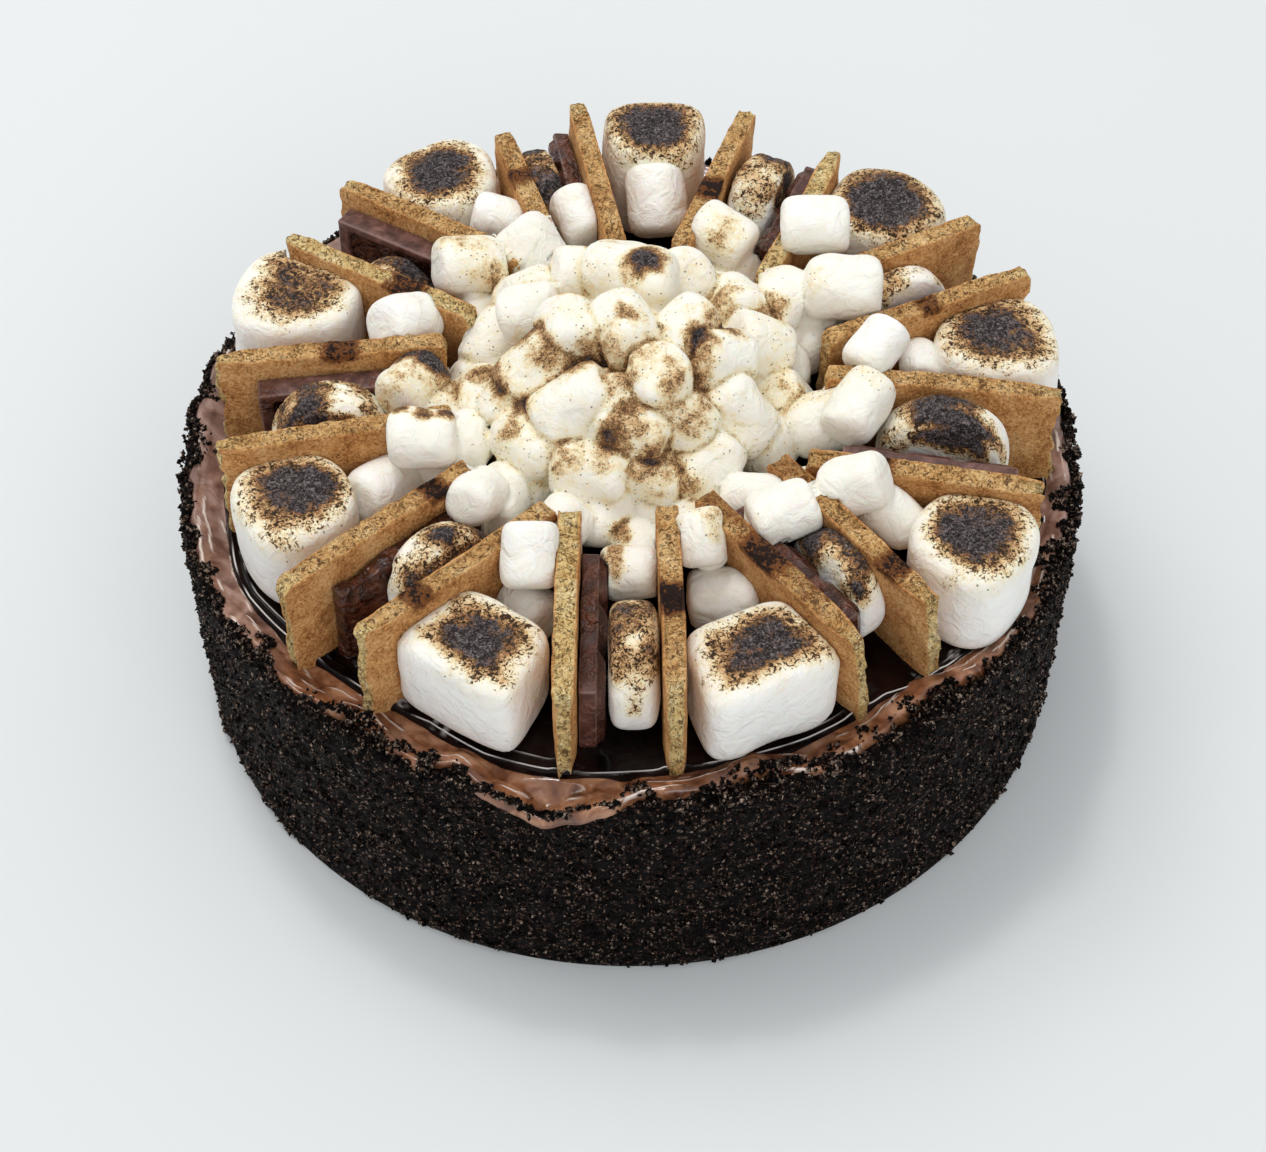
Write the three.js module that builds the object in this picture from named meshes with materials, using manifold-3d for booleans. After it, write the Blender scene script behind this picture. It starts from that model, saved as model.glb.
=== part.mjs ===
// A round chocolate cheesecake topped with nine upright stacks of cracker, chocolate and toasted
// marshmallow, nine large toasted marshmallows between the stacks, and a dome of small marshmallows.
// Millimetres, +Z up. The origin is the centre of the underside, and -Y is the front.
// An azimuth is in degrees from the front, growing towards +X.
import * as THREE from "three";
import { mergeVertices } from "three/addons/utils/BufferGeometryUtils.js";
import Module from "manifold-3d";

const wasm = await Module();
wasm.setup();

// ---- Driving dimensions ----
const GAP = 0.3; // clearance kept between touching pieces
const AROUND = 72; // steps round the cake
const SLIVER = 0.03; // facets thinner than this are closed up
const HEAP_SLIVER = 0.3; // the same for the dome

const CAKE_RADIUS = 114.3; // a nine inch springform tin
const CAKE_HEIGHT = 66;

// The crumb crust: its wall and base, how far the wall dips inwards and the rim sinks between
// crags, and how far its top edge is rounded off.
const CRUST = { wall: 5.6, base: 8, cragDepth: 1.3, rimDrop: 1.6, shoulder: 3.2, rounding: 2 };
const RIM_NOTCH = { azimuth: -10, halfWidth: 13, depth: 6.5 }; // the filling spills over here

// The filling: its flat top, which carries the ganache and the stacks, and its raised margin.
const FILLING = { level: 61, flatRadius: 104.6, crest: 65.2, crestSlope: 1.2, lip: 1.5, rounding: 1.1 };
const FILLING_WAVES = [
  { count: 9, size: 0.35, start: 0 },
  { count: 23, size: 0.25, start: 1 },
];

const GANACHE = { radius: 102.4, depth: 2.4, rounding: 0.7 };
const GANACHE_WAVES = [
  { count: 5, size: 0.8, start: 2 },
  { count: 17, size: 0.4, start: 0 },
];

const CRACKER = { length: 58, height: 32, thickness: 5.4, bevel: 0.8 };
const CRACKER_EDGE = { bites: 4, bite: 0.54, nick: 0.9 }; // how the long edges are broken
const CRACKER_START = 44; // a cracker begins no nearer the cake's axis than this

const CHOCOLATE = { base: 4.2, pip: 1.9, pips: 3, margin: 1.6, taper: 0.8 };
const BAR_DEPTH = CHOCOLATE.base + CHOCOLATE.pip;

const MINI = { diameter: 13.4, length: 15.5 };
const DOME_MINI = { diameter: 17, length: 18.5 }; // swollen and softened by the flame
const DOME = { radius: 40.5, height: 43.5, coreShrink: 2, centreY: 5 };

const LARGE_WEDGE = 0.15; // how much narrower a large marshmallow is at its inner end
const LARGE_SWELL = 0.96; // an outline's sides against those of its squared circle

const SIDES = { core: 16, large: 16, half: 12, mini: 8, domeMini: 6 }; // facets round each shape

const STANDING_LEVEL = FILLING.level + GAP; // the stacks stand on the filling
const GANACHE_TOP = STANDING_LEVEL + GANACHE.depth;
const RESTING_LEVEL = GANACHE_TOP + GAP; // marshmallows rest on the ganache

// ---- The layout ----
// Each stack has two crackers: the azimuth that each points to, where its top edge stands sideways
// of the cake's axis, the radius that its outer corner reaches, and how far it leans sideways.
// A bar of chocolate stands against the first: the radius of its outer end, its height and length.
// Half a marshmallow stands between the bar and the second cracker: the radius of its centre, its
// diameter, and how far it leans sideways.
const STACKS = [
  {
    name: "a",
    first: { heading: -0.6, side: -13.7, reach: 105.2, lean: 0 },
    second: { heading: 1.7, side: 7.3, reach: 104.2, lean: 0 },
    bar: { end: 96, height: 23, length: 42 },
    half: { radius: 82, diameter: 28.5, lean: 0 },
  },
  {
    name: "b",
    first: { heading: 36.8, side: -11.6, reach: 102.5, lean: -7 },
    second: { heading: 36.6, side: 9.9, reach: 103.5, lean: -7 },
    bar: { end: 92.5, height: 27, length: 42 },
    half: { radius: 75, diameter: 28, lean: 0 },
  },
  {
    name: "c",
    first: { heading: 79.3, side: -21.8, reach: 107.3, lean: -11 },
    second: { heading: 82.3, side: 5.4, reach: 106, lean: 0 },
    bar: { end: 99, height: 28, length: 42 },
    half: { radius: 78, diameter: 32, lean: 0 },
  },
  {
    name: "d",
    first: { heading: 114.8, side: -10.1, reach: 107.3, lean: 0 },
    second: { heading: 118.3, side: 6.4, reach: 107.3, lean: 0 },
    bar: { end: 96, height: 26, length: 42 },
    half: { radius: 78, diameter: 27, lean: 0 },
  },
  {
    name: "e",
    first: { heading: 157.6, side: -19.2, reach: 100.3, lean: 0 },
    second: { heading: 159.9, side: 3.9, reach: 105.7, lean: 0 },
    bar: { end: 96, height: 27, length: 36 },
    half: { radius: 84.5, diameter: 28, lean: 0 },
  },
  {
    name: "f",
    first: { heading: -168.8, side: -5.8, reach: 105, lean: 0 },
    second: { heading: -162.5, side: 5.5, reach: 99, lean: 0 },
    bar: { end: 100.5, height: 25, length: 36 },
    half: { radius: 84, diameter: 27, lean: 0 },
  },
  {
    name: "g",
    first: { heading: -121, side: -21.1, reach: 104.3, lean: 0 },
    second: { heading: -119.9, side: 2.6, reach: 101, lean: 0 },
    bar: { end: 99, height: 27, length: 36 },
    half: { radius: 75, diameter: 23, lean: -8 },
  },
  {
    name: "h",
    first: { heading: -82.8, side: -15.7, reach: 103.5, lean: 0 },
    second: { heading: -78.6, side: 6.2, reach: 103, lean: 0 },
    bar: { end: 92.5, height: 26.5, length: 34 },
    half: { radius: 74, diameter: 29.5, lean: -12 },
  },
  {
    name: "i",
    first: { heading: -46.8, side: -2.6, reach: 107.3, lean: 0 },
    second: { heading: -47.6, side: 21.3, reach: 105.6, lean: 0 },
    bar: { end: 95, height: 25, length: 43 },
    half: { radius: 70.5, diameter: 29, lean: -18 },
  },
];

// Each large marshmallow stands on its end: the azimuth and radius of its centre, its size along
// the radius, across it and upwards, how far it is turned, and how square its outline is
// (2 is round, 4 is nearly square).
const LARGE_MALLOWS = [
  { name: "ab", azimuth: 18.8, radius: 88.5, size: [26, 33, 24], turn: 9, square: 4 },
  { name: "bc", azimuth: 57.5, radius: 94.8, size: [30, 31.5, 26], turn: 0, square: 2.4 },
  { name: "cd", azimuth: 100, radius: 93.5, size: [33, 31, 25.5], turn: -4, square: 2.3 },
  { name: "de", azimuth: 134.8, radius: 94, size: [30, 32, 26], turn: 4, square: 2.4 },
  { name: "ef", azimuth: 176, radius: 91.5, size: [25, 27.5, 31], turn: 4, square: 3.4 },
  { name: "fg", azimuth: -147, radius: 91.8, size: [29, 31, 27], turn: -4, square: 2.4 },
  { name: "gh", azimuth: -111, radius: 91, size: [34, 34, 26], turn: 8, square: 2.3 },
  { name: "hi", azimuth: -64.5, radius: 88, size: [30, 31, 25], turn: 0, square: 2.5 },
  { name: "ia", azimuth: -23, radius: 88, size: [26, 32, 24], turn: -11, square: 4 },
];

// The small marshmallows of the dome: [degrees down from its top, azimuth, degrees that the axis is
// turned from straight down the slope, degrees that its lower end stands off, size, stretch].
const DOME_MINIS = [
  [24, 180, 68, 0, 0.95, 1.4],
  [46, 152, 20, 0, 0.95, 1],
  [36, -150, 80, 20, 0.95, 0.9],
  [22, -72, 88, 10, 0.95, 1],
  [9, -12, 35, 0, 0.92, 1],
  [20, 72, 70, 15, 0.85, 1],
  [31, 20, 200, 70, 0.98, 1],
  [40, -30, -36, 0, 1, 1.15],
  [38, -64, 0, 0, 0.95, 1.1],
  [35, 66, 42, 0, 0.95, 1],
  [52, 98, 0, 20, 0.95, 1],
  [44, 3, 65, 0, 0.9, 0.95],
  [52, 55, 5, 0, 0.93, 1.2],
  [40, -112, 20, 20, 0.9, 0.9],
  [51, -62, 10, 10, 0.9, 0.9],
  [64, -76, 75, 0, 0.95, 1.1],
  [59, -15, 85, 0, 1, 1],
  [71, -10, 0, 30, 1.05, 1],
  [61, 30, 120, 0, 0.97, 1.05],
  [60, 9, 60, 10, 0.8, 1],
  [43, 27, 30, 0, 0.85, 1],
  [37, -8, 0, 0, 0.85, 1],
  [57, -44, 90, 0, 1, 1],
  [74, -41, 130, 0, 0.92, 1],
  [76, 8, 0, 20, 0.85, 1],
  [68, 62, 60, 0, 0.9, 1],
  [68, 84, 20, 0, 0.95, 1],
  [62, -110, 60, 0, 0.95, 1],
  [52, 124, 60, 0, 1, 1],
  [52, -130, 10, 10, 1, 1],
  [52, -176, 120, 0, 1, 1],
  [72, 104, 40, 0, 1, 1],
  [72, 124, 100, 20, 1, 1],
  [72, 146, 20, 0, 1, 1],
  [72, 167, 70, 10, 1, 1],
  [72, -172, 150, 0, 1, 1],
  [72, -150, 30, 20, 1, 1],
  [72, -128, 110, 0, 1, 1],
  [74, -92, 60, 0, 1, 1],
];

// Small marshmallows that lie against the foot of the dome: [azimuth, radius, height of the centre
// above the ganache, degrees that the axis is turned from the radius, degrees that its outer end is
// raised, size].
const DOME_FOOT = [
  [0.2, 55.2, 16, 80, 10, 0.95],
  [3, 46, 11, 20, 0, 1.05],
  [17, 55.5, 26, -5, -40, 0.88],
  [19, 50, 20, 10, 10, 0.95],
  [22, 43, 15, 30, 10, 1],
  [37.7, 58.4, 27, 70, 10, 1.05],
  [40, 47.5, 20, 40, 10, 1.1],
  [53.5, 66, 29.5, 25, 30, 1.05],
  [56, 58, 16.5, 10, 20, 1.05],
  [58, 49, 10, 30, 10, 1.15],
  [57, 74.5, 19.5, 10, -40, 0.95],
  [78, 56.5, 27.5, 70, 15, 1.1],
  [80.5, 49, 19, 10, 20, 1.2],
  [117, 60, 31, -27, 0, 1.25],
  [125, 46, 27, 30, 0, 1.1],
  [118, 52, 16, 20, 10, 1.1],
  [154.7, 56.6, 27, 80, 10, 1.05],
  [150, 53.5, 16, 10, 10, 1.15],
  [-152, 53, 26, 15, 30, 1.15],
  [-156, 49, 16, 30, 10, 1.2],
  [-133, 56.4, 28, 60, 15, 1.15],
  [-131, 48.6, 17, 60, 20, 1.05],
  [-89.2, 53.8, 23.5, 60, 10, 1.1],
  [-86, 47, 16, 20, 20, 1.25],
  [-62.7, 55.7, 31, -27, 0, 1.1],
  [-66, 48, 21, 20, 10, 1.2],
  [-42.8, 53, 25, 20, 20, 0.95],
  [-44, 45, 16, 20, 10, 1.15],
  [-20.5, 47, 19, 0, 10, 1],
];

// Small marshmallows that lie clear of the dome, in the same terms.
const LOOSE_MINIS = [
  [21, 61.5, 10, 70, 5, 1.1],
  [-21, 66.5, 12, 60, 5, 0.95],
  [-21, 64.5, 28, 20, -40, 1],
  [95.5, 60.8, 30.5, 45, 20, 0.95],
  [100, 74, 18, 80, 0, 0.78],
  [135.2, 67, 34, -45, 0, 1.12],
  [174.6, 76, 18, 10, 40, 1.2],
  [-168.5, 67, 21, 15, 15, 1],
  [-151.8, 72.5, 21, 50, 10, 0.95],
  [-109.2, 59.8, 26, 65, 25, 1.1],
  [-65.3, 65, 15, 20, 10, 1.15],
];

// ---- Helpers ----
const rad = THREE.MathUtils.degToRad;

// A repeatable draw between 0 and 1 for a pair of whole numbers.
function draw(i, j = 0) {
  const s = Math.sin(i * 127.1 + j * 311.7) * 43758.5453;
  return s - Math.floor(s);
}

// Smooth unevenness round the cake at an angle in radians.
function waver(angle, waves) {
  return waves.reduce((sum, { count, size, start }) => sum + size * Math.sin(angle * count + start), 0);
}

// A point by azimuth, radius and height.
function at(azimuth, radius, z = 0) {
  return new THREE.Vector3(radius * Math.sin(rad(azimuth)), -radius * Math.cos(rad(azimuth)), z);
}

// A frame whose X points outwards along the azimuth and whose Y points towards growing azimuth.
function facing(azimuth) {
  return new THREE.Matrix4().makeRotationZ(rad(azimuth - 90));
}

const shift = (x, y, z) => new THREE.Matrix4().makeTranslation(x, y, z);
const turnX = (degrees) => new THREE.Matrix4().makeRotationX(rad(degrees));
const turnY = (degrees) => new THREE.Matrix4().makeRotationY(rad(degrees));
const turnZ = (degrees) => new THREE.Matrix4().makeRotationZ(rad(degrees));
const chain = (...matrices) => matrices.reduce((all, next) => all.multiply(next), new THREE.Matrix4());

function solidOf(geometry) {
  const bare = geometry.clone();
  bare.deleteAttribute("normal");
  bare.deleteAttribute("uv");
  const merged = mergeVertices(bare, 1e-4);
  const triVerts = new Uint32Array(merged.index.array);
  const vertProperties = merged.attributes.position.array;
  return new wasm.Manifold(new wasm.Mesh({ numProp: 3, vertProperties, triVerts }));
}

// The largest piece of a solid, as a geometry.
function geometryOf(solid, sliver = SLIVER) {
  const pieces = solid.asOriginal().simplify(sliver).decompose();
  const largest = pieces.reduce((a, b) => (b.volume() > a.volume() ? b : a));
  const { vertProperties, triVerts } = largest.getMesh();
  const geometry = new THREE.BufferGeometry();
  geometry.setAttribute("position", new THREE.BufferAttribute(new Float32Array(vertProperties), 3));
  geometry.setIndex(new THREE.BufferAttribute(new Uint32Array(triVerts), 1));
  geometry.computeVertexNormals();
  return geometry;
}

function cut(solid, cutters) {
  const near = cutters.filter((cutter) => solid.intersect(cutter).volume() > 0);
  return near.reduce((rest, cutter) => rest.subtract(cutter), solid);
}

// Moves every vertex of a geometry by a function of its position.
function shaped(geometry, move) {
  const position = geometry.attributes.position;
  const p = new THREE.Vector3();
  for (let i = 0; i < position.count; i++) {
    p.fromBufferAttribute(position, i);
    move(p);
    position.setXYZ(i, p.x, p.y, p.z);
  }
  return geometry;
}

// Scales a point's distance from the Z axis.
function widen(p, scale) {
  p.x *= scale;
  p.y *= scale;
}

function turned(profile, around) {
  const points = profile.map(([r, z]) => new THREE.Vector2(r, z));
  return new THREE.LatheGeometry(points, around).rotateX(Math.PI / 2);
}

// ---- The cake ----
function crustProfile(outer, inner, shoulder) {
  const { base, rounding } = CRUST;
  const third = shoulder / 3; // the wall is uneven at these heights too
  return [
    [0, 0],
    [outer, 0],
    [outer, third],
    [outer, 2 * third],
    [outer, shoulder],
    [outer - rounding, CAKE_HEIGHT],
    [inner, CAKE_HEIGHT],
    [inner, base],
    [0, base],
  ];
}

// The crumb crust: a cup with a craggy wall and an uneven rim, notched where the filling spills.
function crustGeometry() {
  const inner = CAKE_RADIUS - CRUST.wall;
  const shoulder = CAKE_HEIGHT - CRUST.shoulder;
  const wallMiddle = CAKE_RADIUS - CRUST.wall / 2;
  const notch = at(RIM_NOTCH.azimuth, 1);
  const cup = turned(crustProfile(CAKE_RADIUS, inner, shoulder), AROUND);
  return shaped(cup, (p) => {
    const r = Math.hypot(p.x, p.y);
    if (r < inner - 1 || p.z <= CRUST.base) return;
    const turn = Math.atan2(p.y, p.x) / (2 * Math.PI);
    const step = Math.round((turn + 1) * AROUND) % AROUND;
    const atRim = p.z > shoulder - 1;
    if (r > wallMiddle) widen(p, (r - CRUST.cragDepth * draw(step, Math.round(p.z))) / r);
    if (!atRim) return;
    const away = Math.hypot(p.x - notch.x * r, p.y - notch.y * r);
    const dip = Math.max(0, 1 - away / RIM_NOTCH.halfWidth);
    p.z -= CRUST.rimDrop * draw(step, AROUND) + RIM_NOTCH.depth * dip;
  });
}

// The chocolate filling: one body with a flat top and a smeared, raised margin.
function fillingGeometry() {
  const { level, flatRadius, crest, crestSlope, lip, rounding } = FILLING;
  const edge = CAKE_RADIUS - CRUST.wall - GAP;
  const bottom = CRUST.base + GAP;
  const profile = [
    [0, bottom],
    [edge, bottom],
    [edge, crest - rounding],
    [edge - rounding, crest],
    [flatRadius + lip, crest - crestSlope],
    [flatRadius, level],
    [0, level],
  ];
  return shaped(turned(profile, AROUND), (p) => {
    const onMargin = p.z > crest - 2 * rounding;
    if (onMargin) p.z += waver(Math.atan2(p.y, p.x), FILLING_WAVES);
  });
}

// The ganache: a thin pool with a wavering edge.
function ganacheGeometry() {
  const { radius, depth, rounding } = GANACHE;
  const profile = [
    [0, 0],
    [radius, 0],
    [radius, depth - rounding],
    [radius - rounding, depth],
    [0, depth],
  ];
  const pool = turned(profile, AROUND / 2).translate(0, 0, STANDING_LEVEL);
  return shaped(pool, (p) => {
    const r = Math.hypot(p.x, p.y);
    if (r > 0) widen(p, 1 + waver(Math.atan2(p.y, p.x), GANACHE_WAVES) / r);
  });
}

// ---- The stacks ----
// How far sideways of the cake's axis a cracker's lower edge stands.
const footSide = ({ side, lean }) => side - CRACKER.height * Math.sin(rad(lean));

// Where a cracker's outer end stands along its azimuth: its corner touches its reach.
function outerEnd(cracker) {
  const furthest = Math.max(Math.abs(cracker.side), Math.abs(footSide(cracker))) + CRACKER.thickness / 2;
  return Math.sqrt(cracker.reach ** 2 - furthest ** 2);
}

const innerEnd = (cracker) => Math.max(outerEnd(cracker) - CRACKER.length, CRACKER_START);
const crackerLength = (cracker) => outerEnd(cracker) - innerEnd(cracker);

// One straight edge of a cracker as a run of points, with dips along it and its far corner nicked.
function raggedEdge(from, to, bites, seed) {
  const along = to.clone().sub(from);
  const inwards = new THREE.Vector2(-along.y, along.x).normalize();
  const points = [];
  for (let k = 0; k < bites; k++) {
    const share = (k + 0.25 + 0.5 * draw(seed, k)) / bites;
    const dip = CRACKER_EDGE.bite * draw(seed + 1000, k);
    points.push(from.clone().addScaledVector(along, share).addScaledVector(inwards, dip));
  }
  const nick = CRACKER_EDGE.nick * (0.5 + draw(seed, bites));
  points.push(to.clone().addScaledVector(along.normalize(), -nick));
  return points;
}

// A cracker with X along its length, Y through its thickness and Z up.
function crackerGeometry(cracker, seed) {
  const { height, thickness, bevel } = CRACKER;
  const length = crackerLength(cracker);
  const corners = [
    new THREE.Vector2(0, 0),
    new THREE.Vector2(length, 0),
    new THREE.Vector2(length, height),
    new THREE.Vector2(0, height),
  ];
  const outline = corners.flatMap((corner, side) => {
    const isEnd = side % 2 === 1;
    return raggedEdge(corner, corners[(side + 1) % 4], isEnd ? 1 : CRACKER_EDGE.bites, seed * 4 + side);
  });
  const slab = new THREE.ExtrudeGeometry(new THREE.Shape(outline), {
    depth: thickness - 2 * bevel,
    bevelThickness: bevel,
    bevelSize: bevel,
    bevelOffset: -bevel,
    bevelSegments: 1,
    steps: 1,
  });
  return slab.translate(0, 0, bevel - thickness / 2).rotateX(Math.PI / 2);
}

// A plain box round a cracker, with the clearance that its neighbours keep.
function crackerEnvelope(cracker) {
  const { height, thickness } = CRACKER;
  const length = crackerLength(cracker);
  const box = new THREE.BoxGeometry(length + 2 * GAP, thickness + 2 * GAP, height + 2 * GAP);
  return box.translate(length / 2, 0, height / 2);
}

function crackerPlace(cracker) {
  const lift = (CRACKER.thickness / 2) * Math.abs(Math.sin(rad(cracker.lean)));
  const foot = shift(innerEnd(cracker), footSide(cracker), STANDING_LEVEL + lift);
  return chain(facing(cracker.heading), foot, turnX(-cracker.lean));
}

// A chocolate bar on edge, with raised pips on the side that faces away from its cracker.
function chocolateGeometry({ height, length }) {
  const { base, pip, pips, margin, taper } = CHOCOLATE;
  const pitch = length / pips;
  const bar = new THREE.BoxGeometry(length, base, height).translate(length / 2, base / 2, height / 2);
  let solid = solidOf(bar);
  for (let k = 0; k < pips; k++) {
    const block = new THREE.CylinderGeometry(taper * Math.SQRT1_2, Math.SQRT1_2, pip + GAP, 4)
      .rotateY(Math.PI / 4)
      .scale(pitch - margin, 1, height - margin)
      .translate(pitch * (k + 0.5), base + (pip - GAP) / 2, height / 2);
    solid = solid.add(solidOf(block));
  }
  return geometryOf(solid);
}

function chocolateEnvelope({ height, length }) {
  const box = new THREE.BoxGeometry(length + 2 * GAP, BAR_DEPTH + 2 * GAP, height + 2 * GAP);
  return box.translate(length / 2, BAR_DEPTH / 2, height / 2);
}

// The bar lies flat against the first cracker and leans with it.
function chocolatePlace({ first, bar }) {
  const outer = Math.sqrt(bar.end ** 2 - first.side ** 2);
  const along = outer - bar.length - innerEnd(first);
  return chain(crackerPlace(first), shift(along, CRACKER.thickness / 2 + GAP, 0));
}

// ---- Marshmallows ----
// A puffed cylinder about Z, one unit in diameter and one unit long.
function puff(around) {
  const profile = [
    [0, -0.5],
    [0.37, -0.49],
    [0.475, -0.36],
    [0.5, 0],
    [0.475, 0.36],
    [0.37, 0.49],
    [0, 0.5],
  ];
  return turned(profile, around);
}

// The same with fewer facets, for those that melt into the dome.
function softPuff(around) {
  const profile = [
    [0, -0.5],
    [0.42, -0.43],
    [0.5, 0],
    [0.42, 0.43],
    [0, 0.5],
  ];
  return turned(profile, around);
}

// The middle of the space between a stack's bar and its second cracker, and the space's width.
function halfSpace({ first, second, half }) {
  const middle = half.diameter / 2;
  const face = CRACKER.thickness / 2;
  const barSide = new THREE.Vector3(half.radius - innerEnd(first), face + GAP + BAR_DEPTH, middle);
  const crackerSide = new THREE.Vector3(half.radius - innerEnd(second), -face, middle);
  barSide.applyMatrix4(crackerPlace(first));
  crackerSide.applyMatrix4(crackerPlace(second));
  const width = barSide.distanceTo(crackerSide) - 2 * GAP;
  return { centre: barSide.lerp(crackerSide, 0.5), width };
}

// Half a marshmallow on edge, its cut face and its end against its neighbours.
function halfGeometry({ half }, width, margin = 0) {
  const across = half.diameter + 2 * margin;
  return puff(SIDES.half)
    .rotateX(Math.PI / 2)
    .scale(across, width + 2 * margin, across);
}

function halfPlace({ first, second, half }, centre) {
  const heading = (first.heading + second.heading) / 2;
  const middle = shift(centre.x, centre.y, RESTING_LEVEL + half.diameter / 2);
  return chain(middle, facing(heading), turnX(-half.lean));
}

// A large marshmallow, narrower towards the middle of the cake where the stacks close in.
function largeGeometry({ size: [radial, across, height], square }, margin = 0) {
  const body = shaped(puff(SIDES.large), (p) => {
    const angle = Math.atan2(p.y, p.x);
    const outline = Math.abs(Math.cos(angle)) ** square + Math.abs(Math.sin(angle)) ** square;
    widen(p, LARGE_SWELL * outline ** (-1 / square));
  });
  body.scale(radial + 2 * margin, across + 2 * margin, height + 2 * margin);
  return shaped(body, (p) => {
    p.y *= 1 + (LARGE_WEDGE * p.x) / (radial / 2);
  });
}

function largePlace({ azimuth, radius, size, turn }) {
  const centre = at(azimuth, radius, RESTING_LEVEL + size[2] / 2);
  return chain(shift(centre.x, centre.y, centre.z), facing(azimuth + turn));
}

// A small marshmallow by azimuth, radius and height, its axis turned from the radius and raised.
function miniPlace([azimuth, radius, height, turn, raise]) {
  const centre = at(azimuth, radius, GANACHE_TOP + height);
  return chain(shift(centre.x, centre.y, centre.z), facing(azimuth + turn), turnY(90 - raise));
}

function miniGeometry(body, [, , , , , size], margin = 0) {
  const across = MINI.diameter * size + 2 * margin;
  return body.scale(across, across, MINI.length * size + 2 * margin);
}

// One of the dome's small marshmallows, lying on the dome's surface.
function domeMini([zenith, azimuth, turn, rise, size, stretch]) {
  const { diameter, length } = DOME_MINI;
  const outwards = DOME.radius * Math.sin(rad(zenith));
  const centre = at(azimuth, outwards, RESTING_LEVEL + DOME.height * Math.cos(rad(zenith)));
  const place = chain(
    shift(centre.x, centre.y + DOME.centreY, centre.z),
    facing(azimuth),
    turnY(zenith),
    turnZ(turn),
    turnY(90 - rise),
  );
  const across = diameter * size;
  return softPuff(SIDES.domeMini).scale(across, across, length * size * stretch).applyMatrix4(place);
}

// The body of the dome, under its small marshmallows.
function domeCore() {
  const radius = DOME.radius - DOME.coreShrink;
  const height = DOME.height - DOME.coreShrink;
  const steps = 4; // from the foot to the top
  const profile = [[0, 0]];
  for (let k = 0; k < steps; k++) {
    const angle = (k / steps) * (Math.PI / 2);
    profile.push([radius * Math.cos(angle), height * Math.sin(angle)]);
  }
  profile.push([0, height]);
  return turned(profile, SIDES.core).translate(0, DOME.centreY, RESTING_LEVEL);
}

// The dome and the marshmallows at its foot, fused, and fitted round everything else.
function domeGeometry(neighbours) {
  const dome = DOME_MINIS.map(domeMini);
  const foot = DOME_FOOT.map((mini) => {
    const body = softPuff(SIDES.domeMini);
    return miniGeometry(body, mini).applyMatrix4(miniPlace(mini));
  });
  const joined = [domeCore(), ...dome, ...foot].map(solidOf).reduce((sum, next) => sum.add(next));
  const wide = 3 * CAKE_RADIUS;
  const below = new THREE.BoxGeometry(wide, wide, CAKE_HEIGHT);
  below.translate(0, 0, RESTING_LEVEL - CAKE_HEIGHT / 2);
  const smooth = joined.asOriginal().simplify(HEAP_SLIVER);
  return geometryOf(cut(smooth, [solidOf(below), ...neighbours]), HEAP_SLIVER);
}

// ---- Assembly ----
const materials = {
  crust: new THREE.MeshStandardMaterial({ color: 0x1d1310, roughness: 0.95, metalness: 0 }),
  filling: new THREE.MeshStandardMaterial({ color: 0x7d5643, roughness: 0.4, metalness: 0 }),
  ganache: new THREE.MeshStandardMaterial({ color: 0x120907, roughness: 0.08, metalness: 0 }),
  cracker: new THREE.MeshStandardMaterial({ color: 0xb07c45, roughness: 0.85, metalness: 0 }),
  chocolate: new THREE.MeshStandardMaterial({ color: 0x55352a, roughness: 0.4, metalness: 0 }),
  mallow: new THREE.MeshStandardMaterial({ color: 0xf3ecdc, roughness: 0.7, metalness: 0 }),
};

const cake = new THREE.Group();
cake.name = "cheesecake";

function addPiece(name, geometry, material) {
  const mesh = new THREE.Mesh(geometry, material);
  mesh.name = name;
  cake.add(mesh);
}

// The pieces that keep their whole shape, grown by the gap, to cut the softer ones with.
const crackerCutters = [];
const barCutters = [];
const mallowCutters = [];
const miniCutters = [];

STACKS.forEach((stack, number) => {
  [stack.first, stack.second].forEach((cracker, side) => {
    const place = crackerPlace(cracker);
    const geometry = crackerGeometry(cracker, number * 2 + side + 1).applyMatrix4(place);
    addPiece(`cracker_${stack.name}${side + 1}`, geometry, materials.cracker);
    crackerCutters.push(solidOf(crackerEnvelope(cracker).applyMatrix4(place)));
  });
  const place = chocolatePlace(stack);
  addPiece(`chocolate_${stack.name}`, chocolateGeometry(stack.bar).applyMatrix4(place), materials.chocolate);
  barCutters.push(solidOf(chocolateEnvelope(stack.bar).applyMatrix4(place)));
});

const stackCutters = [...crackerCutters, ...barCutters];

for (const stack of STACKS) {
  const { centre, width } = halfSpace(stack);
  const place = halfPlace(stack, centre);
  const whole = solidOf(halfGeometry(stack, width).applyMatrix4(place));
  addPiece(`half_mallow_${stack.name}`, geometryOf(cut(whole, stackCutters)), materials.mallow);
  mallowCutters.push(solidOf(halfGeometry(stack, width, GAP).applyMatrix4(place)));
}

for (const mallow of LARGE_MALLOWS) {
  const place = largePlace(mallow);
  const whole = solidOf(largeGeometry(mallow).applyMatrix4(place));
  addPiece(`large_mallow_${mallow.name}`, geometryOf(cut(whole, stackCutters)), materials.mallow);
  mallowCutters.push(solidOf(largeGeometry(mallow, GAP).applyMatrix4(place)));
}

const firmCutters = [...stackCutters, ...mallowCutters];

LOOSE_MINIS.forEach((mini, number) => {
  const place = miniPlace(mini);
  const whole = solidOf(miniGeometry(puff(SIDES.mini), mini).applyMatrix4(place));
  const fitted = cut(whole, [...firmCutters, ...miniCutters]);
  addPiece(`mini_mallow_${number + 1}`, geometryOf(fitted), materials.mallow);
  miniCutters.push(solidOf(miniGeometry(puff(SIDES.mini), mini, GAP).applyMatrix4(place)));
});

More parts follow.
